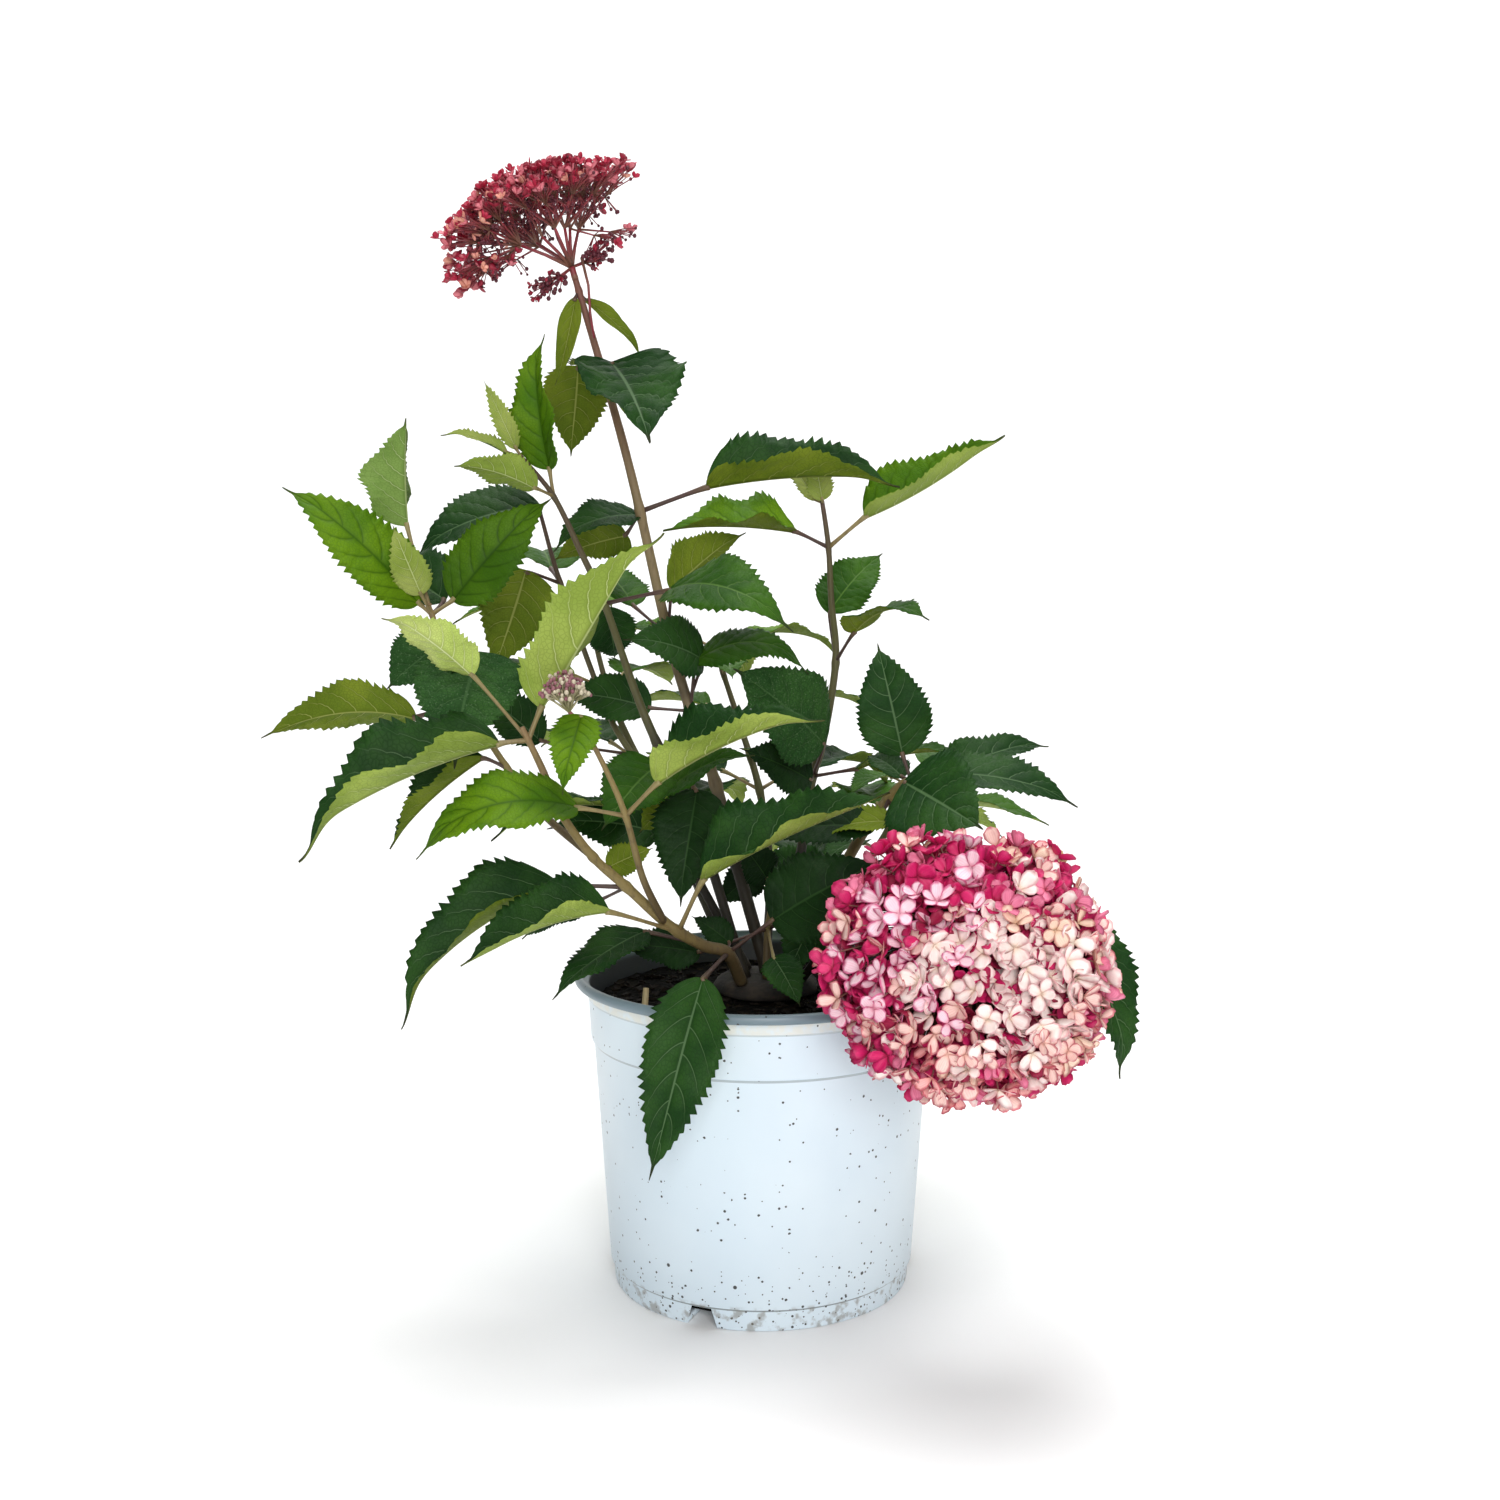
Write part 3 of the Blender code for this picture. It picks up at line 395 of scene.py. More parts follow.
# The canes: slender, upright or leaning stems, tan and woody at the foot and reddish green at
# the tip, swollen where each pair of leaves joins. Each is a tube along a smooth curve through
# the points given, with its radius at the foot and at the tip.
CANES = {
    "tall": (
        [(4, 13, 0), (-14, 15, 249), (-28, 18, 302), (-43, 15, 347), (-56, 10, 393), (-72, 0, 467),
         (-82, -5, 509), (-93, -5, 548), (-103, -10, 583), (-110, -10, 607)],
        4.4, 1.9, (0, 1.1, 2, 3, 4, 5, 7, 8.4)),
    "mid": (
        [(-10, 2, 0), (-34, -5, 265), (-62, -15, 330), (-75, -15, 362), (-92, -20, 413),
         (-105, -25, 443), (-120, -30, 475), (-137, -40, 497)],
        3.5, 1.3, (0, 2, 4, 6)),
    "inner": (
        [(-8, 21, 0), (-40, 24, 243), (-68, 26, 299), (-80, 28, 319), (-96, 34, 347),
         (-124, 40, 424), (-136, 40, 467)],
        3.2, 1.3, (1, 3, 5)),
    "left": (
        [(-12, -13, 0), (-20, -40, 209), (-34, -50, 216), (-53, -65, 231), (-76, -80, 256),
         (-94, -90, 275), (-110, -105, 302), (-118, -115, 326), (-125, -120, 343), (-128, -122, 350)],
        4.2, 1.5, (1, 2.75, 4, 5, 8)),
    "left_side": (
        [(-94, -90, 275), (-123, -80, 298), (-143, -72, 322), (-167, -65, 360), (-186, -60, 408),
         (-187, -60, 414)],
        2.4, 1.3, (2, 3, 4)),
    "front": (
        [(-56, -68, 234), (-66, -95, 264), (-74, -112, 301), (-84, -118, 327), (-95, -125, 350),
         (-102, -130, 359)],
        2.4, 1.0, (2, 4)),
    "right": (
        [(18, 12, 0), (21, 22, 229), (27, 28, 272), (32, 30, 305), (38, 30, 325), (46, 30, 376),
         (43, 28, 414), (41, 25, 446), (37, 22, 473), (36, 22, 477)],
        3.7, 1.2, (1, 3, 5, 7)),
    "bloom": (
        [(17, -8, 0), (38, -6, 232), (60, -28, 279), (73, -46, 301), (85, -62, 313),
         (103, -85, 306), (110, -105, 281), (111, -138, 240)],
        3.7, 2.6, (1, 3, 4)),
    "low_right": (
        [(25, -2, 0), (45, -25, 215), (85, -40, 243), (125, -60, 252), (130, -62, 253)],
        3.0, 1.2, (2, 3)),
    "low_front": (
        [(3, -3, 0), (4, 0, 215), (8, -4, 240), (9, -4, 246)],
        2.6, 1.2, (1, 2)),
    "rear_left": (
        [(-17, 26, 0), (-42, 52, 236), (-70, 82, 290), (-98, 108, 345), (-112, 122, 392),
         (-114, 124, 400)],
        3.4, 1.3, (1.6, 2.3, 3.15, 3.8, 4.6)),
    "rear": (
        [(3, 30, 0), (6, 62, 236), (0, 98, 285), (-14, 122, 330), (-28, 134, 372), (-29, 135, 380)],
        3.4, 1.3, (2.05, 2.5, 3.0, 3.7, 4.5)),
    "rear_right": (
        [(20, 27, 0), (44, 52, 212), (68, 78, 240), (86, 100, 264), (95, 112, 286),
         (96, 114, 293)],
        3.4, 1.3, (1.5, 2.4, 3.0, 4.4)),
}
FLOWER_ENDS = {"tall": 8.7, "front": 4.4, "bloom": 5.6}
CANE_FOOT = 185.0


def on_cane(points, at):
    """The place on the smooth curve through the points, where `at` counts points."""
    i = min(int(at), len(points) - 2)
    t = at - i
    p1 = Vector(points[i])
    p2 = Vector(points[i + 1])
    p0 = Vector(points[i - 1]) if i > 0 else 2 * p1 - p2
    p3 = Vector(points[i + 2]) if i + 2 < len(points) else 2 * p2 - p1
    return 0.5 * (2 * p1 + (p2 - p0) * t + (2 * p0 - 5 * p1 + 4 * p2 - p3) * t ** 2
                  + (3 * p1 - p0 - 3 * p2 + p3) * t ** 3)


def cane_points(name):
    """The cane's points, with its foot set on the stool."""
    points = [Vector(p) for p in CANES[name][0]]
    if points[0].z == 0:
        points[0].z = CANE_FOOT
    return points


class Gathered:
    """Many small shapes of quads that become one piece: their points, faces and materials, a map
    for the pattern on each, and a map that gives each side of a shape a patch of its own."""

    def __init__(self):
        """Nothing gathered yet: count is of the points so far, cells of the patches."""
        self.points, self.quads, self.slots, self.pattern, self.patches = [], [], [], [], []
        self.count = 0
        self.cells = 0

    def add(self, points, quads, slots, pattern, patch):
        """Adds a shape, whose quads count its own points and whose patches start from 0."""
        self.points.append(points)
        self.quads.append(quads + self.count)
        self.slots.append(slots)
        self.pattern.append(pattern)
        self.patches.append(patch + (self.cells, 0, 0))
        self.count += len(points)
        self.cells += int(patch[..., 0].max()) + 1

    def piece(self, name, materials, tall=2.0):
        """The piece. A patch is `tall` times as high as wide, and the patches fill a square."""
        quads = np.concatenate(self.quads)
        mesh = bpy.data.meshes.new(name)
        mesh.vertices.add(self.count)
        mesh.vertices.foreach_set("co", (np.concatenate(self.points) * 0.001).astype(np.float32).ravel())
        mesh.loops.add(quads.size)
        mesh.loops.foreach_set("vertex_index", quads.astype(np.int32).ravel())
        mesh.polygons.add(len(quads))
        mesh.polygons.foreach_set("loop_start", np.arange(0, quads.size, 4, dtype=np.int32))
        mesh.polygons.foreach_set("material_index", np.concatenate(self.slots).astype(np.int32))
        mesh.update(calc_edges=True)
        pattern = mesh.uv_layers.new(name="pattern")
        pattern.data.foreach_set("uv", np.concatenate(self.pattern).astype(np.float32).ravel())
        wide = math.ceil(math.sqrt(self.cells * tall))
        high = math.ceil(self.cells / wide)
        patch = np.concatenate(self.patches)
        cell = patch[..., 0]
        across = (cell % wide + 0.04 + 0.92 * patch[..., 1]) / wide
        along = (cell // wide + 0.02 + 0.96 * patch[..., 2]) / high
        bake = mesh.uv_layers.new(name="OFBake")
        bake.data.foreach_set("uv", np.stack([across, along], -1).astype(np.float32).ravel())
        mesh.shade_smooth()
        for material in materials:
            mesh.materials.append(material)
        obj = bpy.data.objects.new(name, mesh)
        bpy.context.scene.collection.objects.link(obj)
        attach(obj, "root")
        return obj


def tube(gathered, path, radii, sides, slot=0):
    """Adds a tube with closed ends along a path of points, carried along it without twisting."""
    path = np.array([tuple(p) for p in path], float)
    ahead = np.gradient(path, axis=0)
    ahead /= np.linalg.norm(ahead, axis=1, keepdims=True)
    turns = np.linspace(0, 2 * math.pi, sides, endpoint=False)
    side = np.cross(ahead[0], (0.13, 0.97, 0.2))
    rings = []
    for centre, forward, radius in zip(path, ahead, radii):
        side = side - forward * side.dot(forward)
        side /= np.linalg.norm(side)
        other = np.cross(forward, side)
        rings.append(centre + radius * (np.cos(turns)[:, None] * side + np.sin(turns)[:, None] * other))
    n = len(path)
    ring = np.arange(sides)
    after = (ring + 1) % sides
    step = np.arange(n - 1)[:, None] * sides
    walls = np.stack([step + ring, step + after, step + sides + after, step + sides + ring], -1)
    walls = walls.reshape(-1, 4)
    pairs = np.arange(sides // 2 - 1)
    cap = np.stack([pairs % sides, pairs + 1, sides - 2 - pairs, sides - 1 - pairs], -1)
    quads = np.concatenate([walls, cap[:, ::-1], cap + (n - 1) * sides])
    u = np.stack([ring, ring + 1, ring + 1, ring], -1) / sides
    v = np.arange(n) / (n - 1)
    wall_u = np.broadcast_to(u, (n - 1, sides, 4))
    wall_v = np.broadcast_to(np.stack([v[:-1], v[:-1], v[1:], v[1:]], -1)[:, None], (n - 1, sides, 4))
    pattern = np.stack([wall_u, wall_v], -1).reshape(-1, 4, 2)
    square = np.array([(0.0, 0.0), (0.01, 0.0), (0.01, 0.01), (0.0, 0.01)])
    ends = np.broadcast_to(square, (len(cap), 4, 2))
    pattern = np.concatenate([pattern, ends, ends + (0, 0.99)])
    patch = np.concatenate([np.zeros(pattern.shape[:2] + (1,)), pattern], -1)
    gathered.add(np.concatenate(rings), quads, np.full(len(quads), slot), pattern, patch)


def bark_finish(name, foot, middle, tip, rough=0.6):
    """Smooth young bark that changes colour from the foot to the tip, faintly streaked."""
    material, tree, shader = finish(name, rough)
    axes = node(tree, "SeparateXYZ", {0: node(tree, "UVMap", uv_map="pattern").outputs["UV"]}).outputs
    place = here(tree)
    long = node(tree, "Mapping", {"Vector": place, "Scale": (1.0, 1.0, 0.16)}).outputs[0]
    streak = cloud(tree, long, 420.0, 4.0)
    way = maths(tree, "ADD", axes[1], maths(tree, "MULTIPLY_ADD", cloud(tree, place, 38.0), 0.5, -0.25))
    colour = blend(tree, between(tree, way, 0.12, 0.50), foot, middle)
    colour = blend(tree, between(tree, way, 0.5, 1.0), colour, tip)
    paint(tree, shader, tint(tree, colour, (0.055, 0.032, 0.020), between(tree, streak, 0.5, 0.75), 0.45))
    relief(tree, shader, streak, 0.35, 0.0006)
    return material


BARKS = [bark_finish("bark_tall", (0.020, 0.015, 0.007), (0.21, 0.155, 0.075), (0.17, 0.060, 0.042)),
         bark_finish("bark_tan", (0.10, 0.068, 0.026), (0.22, 0.165, 0.055), (0.24, 0.15, 0.070)),
         bark_finish("bark_green", (0.014, 0.011, 0.006), (0.085, 0.080, 0.022), (0.080, 0.040, 0.028))]
BARK_OF = {"tall": 0, "left": 1, "left_side": 1, "front": 1, "bloom": 1, "low_front": 1}


def cane(gathered, name):
    """A cane from its foot to where its flowers begin, or to its tip, swollen at its joints."""
    points = cane_points(name)
    last = FLOWER_ENDS.get(name, len(points) - 1)
    _, foot, tip, joints = CANES[name]
    length = sum((points[i + 1] - points[i]).length for i in range(len(points) - 1))
    steps = max(20, int(length / 3.2))
    path = []
    radii = []
    for k in range(steps + 1):
        at = last * k / steps
        path.append(on_cane(points, at))
        swell = max(math.exp(-((at - joint) / 0.07) ** 2) for joint in joints)
        wobble = 0.03 * noise.noise(Vector((at * 3.1, foot, 0)))
        radii.append((foot + (tip - foot) * at / (len(points) - 1)) * (0.95 + 0.22 * swell + wobble))
    tube(gathered, path, radii, 12, BARK_OF.get(name, 2))


stems = Gathered()
for name in CANES:
    cane(stems, name)
canes = stems.piece("canes", BARKS, 6.0)
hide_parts("cane_tall", "cane_mid", "cane_inner", "cane_left", "cane_left_side", "cane_front",
            "cane_right", "cane_bloom", "cane_low_right", "cane_rear_left", "cane_rear", "cane_rear_right")

# The leaves: ovate, toothed and drawn out to a long tip, quilted between side veins that sink
# into the upper face and stand out below. Each hangs on a thin purplish stalk. A leaf is given
# as: where it joins its cane; its stalk's heading, lift and length; its blade's heading, rise
# and length; the heading and rise that its upper face looks to; its width and its arch as
# shares of its length; the lift of its two halves; its finish above and below; and, where its
# margin isn't fully toothed, how far the teeth stand out.
SHOOTS = [
    ("leaves_tall_low", "tall", [
        (3.0, 178, 4, 24, 172, 8, 58, -90, 40, 0.60, 0.08, 10, "deep", "olive"),
        (3.0, -79, 64, 35, 0, -3, 69, -90, 55, 0.50, 0.24, -4, "mid", "olive"),
        (3.1, -53, 59, 32, -150, 16, 54, -90, 35, 0.74, 0.10, 10, "deep", "olive"),
        (4.0, -73, 79, 28, 33, 35, 62, 90, 35, 0.62, 0.04, 12, "mid", "olive"),
        (4.0, 153, 36, 30, 122, 24, 58, -60, 60, 0.56, 0.08, 10, "mid", "olive"),
    ]),
    ("leaves_tall_high", "tall", [
        (5.0, -7, 20, 42, -5, 2, 114, -90, 67, 0.50, 0.04, 50, "deep", "olive"),
        (5.0, 98, -7, 10, -152, -18, 58, -90, 60, 0.60, 0.10, 10, "deep", "olive"),
        (5.0, 126, -42, 20, 145, -15, 59, 90, 30, 0.55, 0.06, 12, "mid", "olive"),
        (7.0, -28, 40, 8, -66, -37, 82, -75, 57, 0.86, 0.06, 20, "deep", "olive"),
        (7.0, 147, 14, 19, 101, -56, 62, 90, 40, 0.66, 0.06, 12, "mid", "olive"),
        (8.4, -128, -51, 5, -132, -73, 54, -90, 30, 0.26, -0.06, 24, "olive", "olive", 0.0),
        (8.4, 56, -39, 6, 9, -44, 48, -90, 40, 0.22, 0.10, 24, "olive", "olive", 0.0),
    ]),
    ("leaves_mid", "mid", [
        (1.9, -90, -12, 22, -126, -31, 62, -90, 40, 0.70, 0.10, 10, "mid", "olive"),
        (2.0, -87, -39, 45, -25, 27, 66, -90, 60, 0.60, 0.08, 10, "mid", "pale"),
        (2.0, -43, -36, 41, -104, -66, 70, -95, 25, 0.62, 0.08, 10, "dark", "olive"),
        (2.1, -19, -57, 37, -167, -41, 37, -90, 20, 0.80, 0.06, 10, "olive", "olive"),
        (4.0, -15, 12, 40, -36, -13, 88, -80, 40, 0.54, 0.17, 4, "mid", "olive"),
        (4.0, 90, -12, 12, 84, -44, 46, -90, 30, 0.66, 0.08, 10, "deep", "olive"),
        (6.0, 180, 82, 15, -115, 81, 76, -120, 10, 0.46, 0.06, 30, "bright", "pale"),
        (6.0, -125, 16, 15, -152, 14, 50, 90, 50, 0.56, 0.08, 14, "bright", "pale"),
        (7.0, -145, 12, 9, -164, 18, 38, -90, 60, 0.34, 0.06, 20, "young", "soft"),
        (7.0, 180, 57, 5, 180, 64, 43, -90, 20, 0.30, 0.04, 24, "young", "soft"),
    ]),
    ("leaves_inner", "inner", [
        (3.0, -155, 10, 59, 166, 35, 52, -90, 40, 0.60, 0.08, 10, "deep", "olive"),
        (5.0, -142, 19, 26, 135, -64, 70, 90, 5, 0.70, 0.05, 8, "mid", "olive"),
        (5.0, 110, 20, 26, 104, 5, 80, 100, 75, 0.58, 0.10, 12, "mid", "olive"),
        (6.0, -80, 30, 9, -165, -21, 84, -90, 50, 0.57, 0.10, 8, "deep", "olive"),
    ]),
    ("leaves_left_low", "left", [
        (1.0, -101, 1, 66, -131, -66, 112, -90, 20, 0.39, 0.06, 14, "deep", "olive"),
        (1.0, -11, 38, 33, -12, 32, 76, -90, 30, 0.70, 0.06, 10, "dark", "olive"),
        (1.1, 166, 12, 50, -138, -22, 74, -80, 78, 0.46, 0.05, 6, "deep", "olive"),
        (2.75, -134, 21, 56, -159, -16, 87, -90, 64, 0.56, 0.08, 52, "deep", "pale"),
        (2.75, -60, 51, 45, -11, 26, 117, -90, 62, 0.46, 0.03, 45, "deep", "pale"),
        (4.0, 180, 2, 37, -159, -35, 117, -90, 67, 0.46, 0.11, 48, "deep", "olive"),
        (4.0, 124, -22, 33, 167, -26, 54, -90, 60, 0.56, 0.08, 10, "deep", "olive"),
        (4.0, 145, 34, 17, 5, 25, 28, -90, 20, 0.70, 0.06, 10, "olive", "olive"),
        (1.15, 82, -3, 26, 175, 35, 29, -90, 40, 0.66, 0.08, 10, "dark", "olive"),
    ]),
    ("leaves_left_front", "left", [
        (8.0, -170, 51, 45, -154, 35, 58, 70, 40, 0.62, 0.05, 10, "young", "fresh"),
        (8.0, 28, 67, 18, 5, 58, 114, 150, 10, 0.46, 0.0, 34, "bright", "pale"),
        (8.0, -172, -5, 15, -171, -24, 122, -90, 67, 0.50, 0.05, 50, "deep", "pale"),
    ]),
    ("leaves_left_outer", "left_side", [
        (2.0, -168, 29, 15, 168, -43, 80, -60, 67, 0.36, 0.05, 58, "deep", "olive"),
        (3.0, 161, -19, 33, -170, -6, 87, 60, 35, 0.46, 0.14, 18, "deep", "olive"),
        (3.0, -47, 64, 31, -101, -53, 72, -90, 30, 0.84, 0.08, 8, "hairy", "olive"),
        (3.6, -60, 20, 14, -155, -38, 46, -90, 30, 0.90, 0.06, 6, "hairy", "olive"),
        (4.0, -162, 41, 9, -165, 43, 97, -100, 40, 0.42, 0.10, 8, "bright", "pale"),
        (4.0, 46, 27, 16, 5, 46, 81, -90, 20, 0.50, 0.07, 8, "leafy", "pale"),
        (4.0, 151, 71, 52, 100, 81, 62, 150, 10, 0.80, 0.02, 36, "bright", "soft"),
        (4.0, -135, 58, 13, -138, 68, 42, -90, 10, 0.52, 0.06, 16, "young", "soft"),
        (4.0, 75, 22, 20, 136, 13, 77, -90, 40, 0.58, 0.10, 10, "deep", "olive"),
    ]),
    ("leaves_front", "front", [
        (2.0, -162, 13, 27, -166, -13, 89, -90, 50, 0.48, 0.21, 8, "bright", "pale"),
        (2.0, -25, 45, 27, -19, 24, 100, -90, 73, 0.50, 0.05, 47, "deep", "pale"),
        (4.0, -103, 67, 8, -100, -46, 50, -90, 30, 0.52, 0.06, 10, "bright", "pale"),
    ]),
    ("leaves_right_low", "right", [
        (3.0, -93, 0, 22, -157, 24, 51, -90, 35, 0.72, 0.06, 10, "dark", "olive"),
        (3.0, -72, 45, 31, -160, 37, 76, -90, 35, 0.80, 0.08, 6, "hairy", "olive"),
        (3.0, -46, 12, 36, -10, 9, 72, -90, 85, 0.40, 0.08, 14, "mid", "olive"),
        (5.0, 118, 73, 31, 34, 42, 56, -115, 20, 0.68, 0.08, 8, "mid", "olive"),
        (5.0, -61, 44, 27, -48, 12, 62, -60, 55, 0.66, 0.14, 8, "mid", "olive"),
    ]),
    ("leaves_right_high", "right", [
        (7.0, -166, 26, 23, -169, 0, 81, -90, 67, 0.56, 0.04, 34, "bright", "olive"),
        (7.0, -13, 40, 29, -14, 32, 96, -90, 67, 0.46, -0.05, 45, "bright", "pale"),
        (8.0, -92, 15, 5, -126, 71, 33, -90, 15, 0.50, 0.06, 20, "young", "soft"),
        (8.0, 131, 14, 6, 156, 53, 38, -90, 40, 0.42, 0.06, 20, "young", "soft"),
    ]),
    ("leaves_bloom", "bloom", [
        (3.0, -75, -25, 23, 168, -13, 60, -90, 65, 0.40, 0.08, 12, "olive", "olive"),
        (3.1, -123, -41, 23, 170, -6, 70, -90, 45, 0.42, 0.08, 10, "dark", "olive"),
        (4.0, 141, 67, 16, 147, 76, 66, -95, 10, 0.64, 0.08, 8, "deep", "olive"),
        (4.0, 0, 24, 12, -17, -9, 84, -90, 60, 0.46, 0.08, 10, "deep", "olive"),
        (4.0, 46, -9, 17, 12, 17, 76, -90, 60, 0.46, 0.08, 12, "deep", "olive"),
        (4.0, -115, 8, 14, -50, -20, 64, -100, 22, 0.90, 0.06, 4, "deep", "olive"),
        (4.1, 116, 6, 13, 119, 14, 38, -90, 60, 0.56, 0.08, 10, "deep", "olive"),
    ]),
    ("leaves_low_right", "low_right", [
        (3.0, -20, -10, 52, -40, -66, 98, -60, 20, 0.46, 0.06, 10, "deep", "olive"),
        (3.0, 75, -5, 28, 72, -25, 72, 70, 60, 0.58, 0.10, 12, "mid", "olive"),
        (2.0, 80, 5, 30, 84, -20, 76, 80, 66, 0.58, 0.08, 12, "mid", "olive"),
    ]),
    ("leaves_low_front", "low_front", [
        (2.0, 101, 10, 39, -176, -40, 36, -90, 30, 0.72, 0.06, 8, "dark", "olive"),
        (2.0, -124, 45, 10, -151, 53, 34, -90, 30, 0.72, 0.06, 8, "dark", "olive"),
        (1.0, -86, -12, 40, -59, -39, 38, -90, 50, 0.62, 0.08, 10, "deep", "pale"),
        (1.0, -35, 27, 43, -143, -57, 49, -90, 30, 0.62, 0.06, 8, "deep", "olive"),
        (1.0, -149, -11, 48, -173, 6, 50, -90, 45, 0.60, 0.06, 8, "dark", "olive"),
    ]),
]
REAR_SHOOTS = [
    ("leaves_rear_left", "rear_left", 136, (1.6, 2.3, 3.15, 3.8, 4.6),
     [(1.4, 200, 30, 16, -170, 8, 70, -90, 45, 0.62, 0.08, 8, "deep", "olive")]),
    ("leaves_rear", "rear", 92, (2.05, 2.5, 3.0, 3.7, 4.5),
     [(1.3, 130, 0, 26, 178, 2, 66, -90, 45, 0.50, 0.06, 8, "deep", "olive")]),
    ("leaves_rear_right", "rear_right", 48, (1.5, 2.4, 3.0, 4.4),
     [(1.4, 178, 30, 14, -160, 20, 60, -90, 30, 0.66, 0.08, 8, "deep", "olive")]),
]
REAR_LEAF = 92.0
REAR_STALK = 30.0
VEINS = 7.5
VEIN_SWEEP = 0.24
VEIN_BEND = 1.5
VEIN_OFFSET = 0.42
TEETH = 21


def sheet(across, along):
    """A thin closed sheet: the places of its corners, from -1 to 1 both ways and 0 below or 1
    above, its quads, and which of them are upper side, underside and rim."""
    bm = bmesh.new()
    bmesh.ops.create_grid(bm, x_segments=across, y_segments=along, size=1.0)
    bmesh.ops.solidify(bm, geom=bm.faces[:], thickness=-1.0)
    bmesh.ops.recalc_face_normals(bm, faces=bm.faces)
    bm.verts.index_update()
    places = np.array([v.co[:] for v in bm.verts])
    quads = np.array([[v.index for v in f.verts] for f in bm.faces])
    facing = np.array([f.normal.z for f in bm.faces])
    bm.free()
    places[:, 2] -= places[:, 2].min()
    side = np.where(facing > 0.5, 0, np.where(facing < -0.5, 1, 2))
    return places, quads, side


def patch_of(places, quads, side):
    """Where each corner lies in the patches: the upper side and rim in one, the underside next."""
    x, y, z = places[:, 0][quads], places[:, 1][quads], places[:, 2][quads]
    rim = side[:, None] == 2
    grow = np.where(rim & (z < 0.5), 1.0, 0.955)
    cell = np.broadcast_to((side == 1)[:, None], x.shape).astype(float)
    return np.stack([cell, 0.5 + 0.5 * x * grow, 0.5 + 0.5 * y * grow], -1)


def smooth(value, low, high):
    """0 below the low value and 1 above the high one, with a soft step between."""
    t = np.clip((value - low) / (high - low), 0, 1)
    return t * t * (3 - 2 * t)


def heading_vector(heading, rise):
    """The unit vector at this heading and rise, in degrees."""
    h = math.radians(heading)
    r = math.radians(rise)
    return Vector((math.cos(r) * math.cos(h), math.cos(r) * math.sin(h), math.sin(r)))


def blade_points(places, base, record, chance):
    """The corners of a sheet laid out as a leaf's blade."""
    heading, rise, length, face_heading, face_rise, width, arch, fold = record[4:12]
    along = heading_vector(heading, rise)
    face = heading_vector(face_heading, face_rise)
    face = (face - along * face.dot(along)).normalized()
    across = np.array(along.cross(face))
    grain = chance.uniform(0, 40)
    along = np.array(along)
    face = np.array(face)
    s = places[:, 0]
    t = (places[:, 1] + 1) / 2
    top = places[:, 2] > 0.5
    x = np.sign(s) * np.abs(s) ** 1.35
    ax = np.abs(x)
    body = np.sin(math.pi * np.clip(t / 0.93, 1e-4, 1 - 1e-4) ** 0.66) ** 0.82
    half = np.hypot(body, 0.085 * np.clip((1.012 - t) / 0.2, 0, 1) ** 0.8 * smooth(t, 0.6, 0.85))
    teeth = TEETH if length > 45 else 15
    turn = (t * teeth + 0.2 * chance.randrange(5)) % 1.0
    tooth = (turn ** 1.2 - 0.4) * smooth(t, 0.05, 0.16) * (1 - smooth(t, 0.84, 0.93))
    tooth = tooth * (0.8 + 0.35 * np.sin(t * 17 + chance.uniform(0, 6)))
    tooth = tooth * (record[14] if len(record) > 14 else 1.0)
    wide = 0.5 * width * length
    reach = wide * half * x + np.sign(x) * ax ** 6 * tooth * (1.3 + 0.027 * length) * np.minimum(1, half * 2)
    phase = (t - VEIN_SWEEP * ax ** VEIN_BEND) * VEINS + np.where(x > 0, VEIN_OFFSET, 0)
    phase = phase + 0.12 * np.sin(5.3 * t + 2.1 * x)
    bulge = np.abs(np.sin(math.pi * phase)) ** 0.7
    quilt = (bulge - 0.5) * 0.075 * wide * smooth(ax, 0.02, 0.3) * (1 - 0.5 * smooth(ax, 0.7, 1.0))
    quilt = quilt * smooth(half, 0.02, 0.5)
    crease = -0.55 * np.exp(-(ax / 0.05) ** 2) * (1 - 0.7 * t)
    waves = chance.choice((1.5, 2.0, 2.5))
    ripple = np.sin(2 * math.pi * (waves * t + chance.random()) + np.where(x > 0, 1.7, 0)) * ax ** 2.2
    ripple = ripple * wide * (chance.uniform(0.05, 0.11) + 0.002 * abs(fold)) * half
    rough = np.sin(31 * t + grain + 5 * x) * np.sin(9 * x + 13 * t + 2 * grain) * ax * 0.018 * wide
    slope = math.radians(fold)
    out = np.abs(reach)
    lift = out * math.sin(slope) * (0.75 + 0.25 * ax) + quilt + crease + ripple + rough
    droop = -0.12 * length * smooth(t, 0.68, 1.0) ** 2 * chance.uniform(-0.3, 1.0)
    roll = math.radians(chance.uniform(-16, 16)) * (t - 0.5) * reach / (0.5 * wide + 1)
    lift = lift + roll * 0.5 * wide
    sway = 0.05 * length * chance.uniform(-1, 1) * (t ** 2 - t ** 6 * 0.4)
    thick = 0.30 + 0.10 * (1 - ax)
    ridge = 0.9 * np.exp(-(ax / 0.045) ** 2) * (1 - 0.75 * t) * min(1.0, length / 80)
    lift = lift + np.where(top, 0.0, -thick - ridge)
    place = (np.array(base) + along * (t * length)[:, None]
             + face * (4 * arch * length * t * (1 - t) + lift + droop)[:, None]
             + across * (reach * math.cos(slope) + sway)[:, None])
    return place, x, t


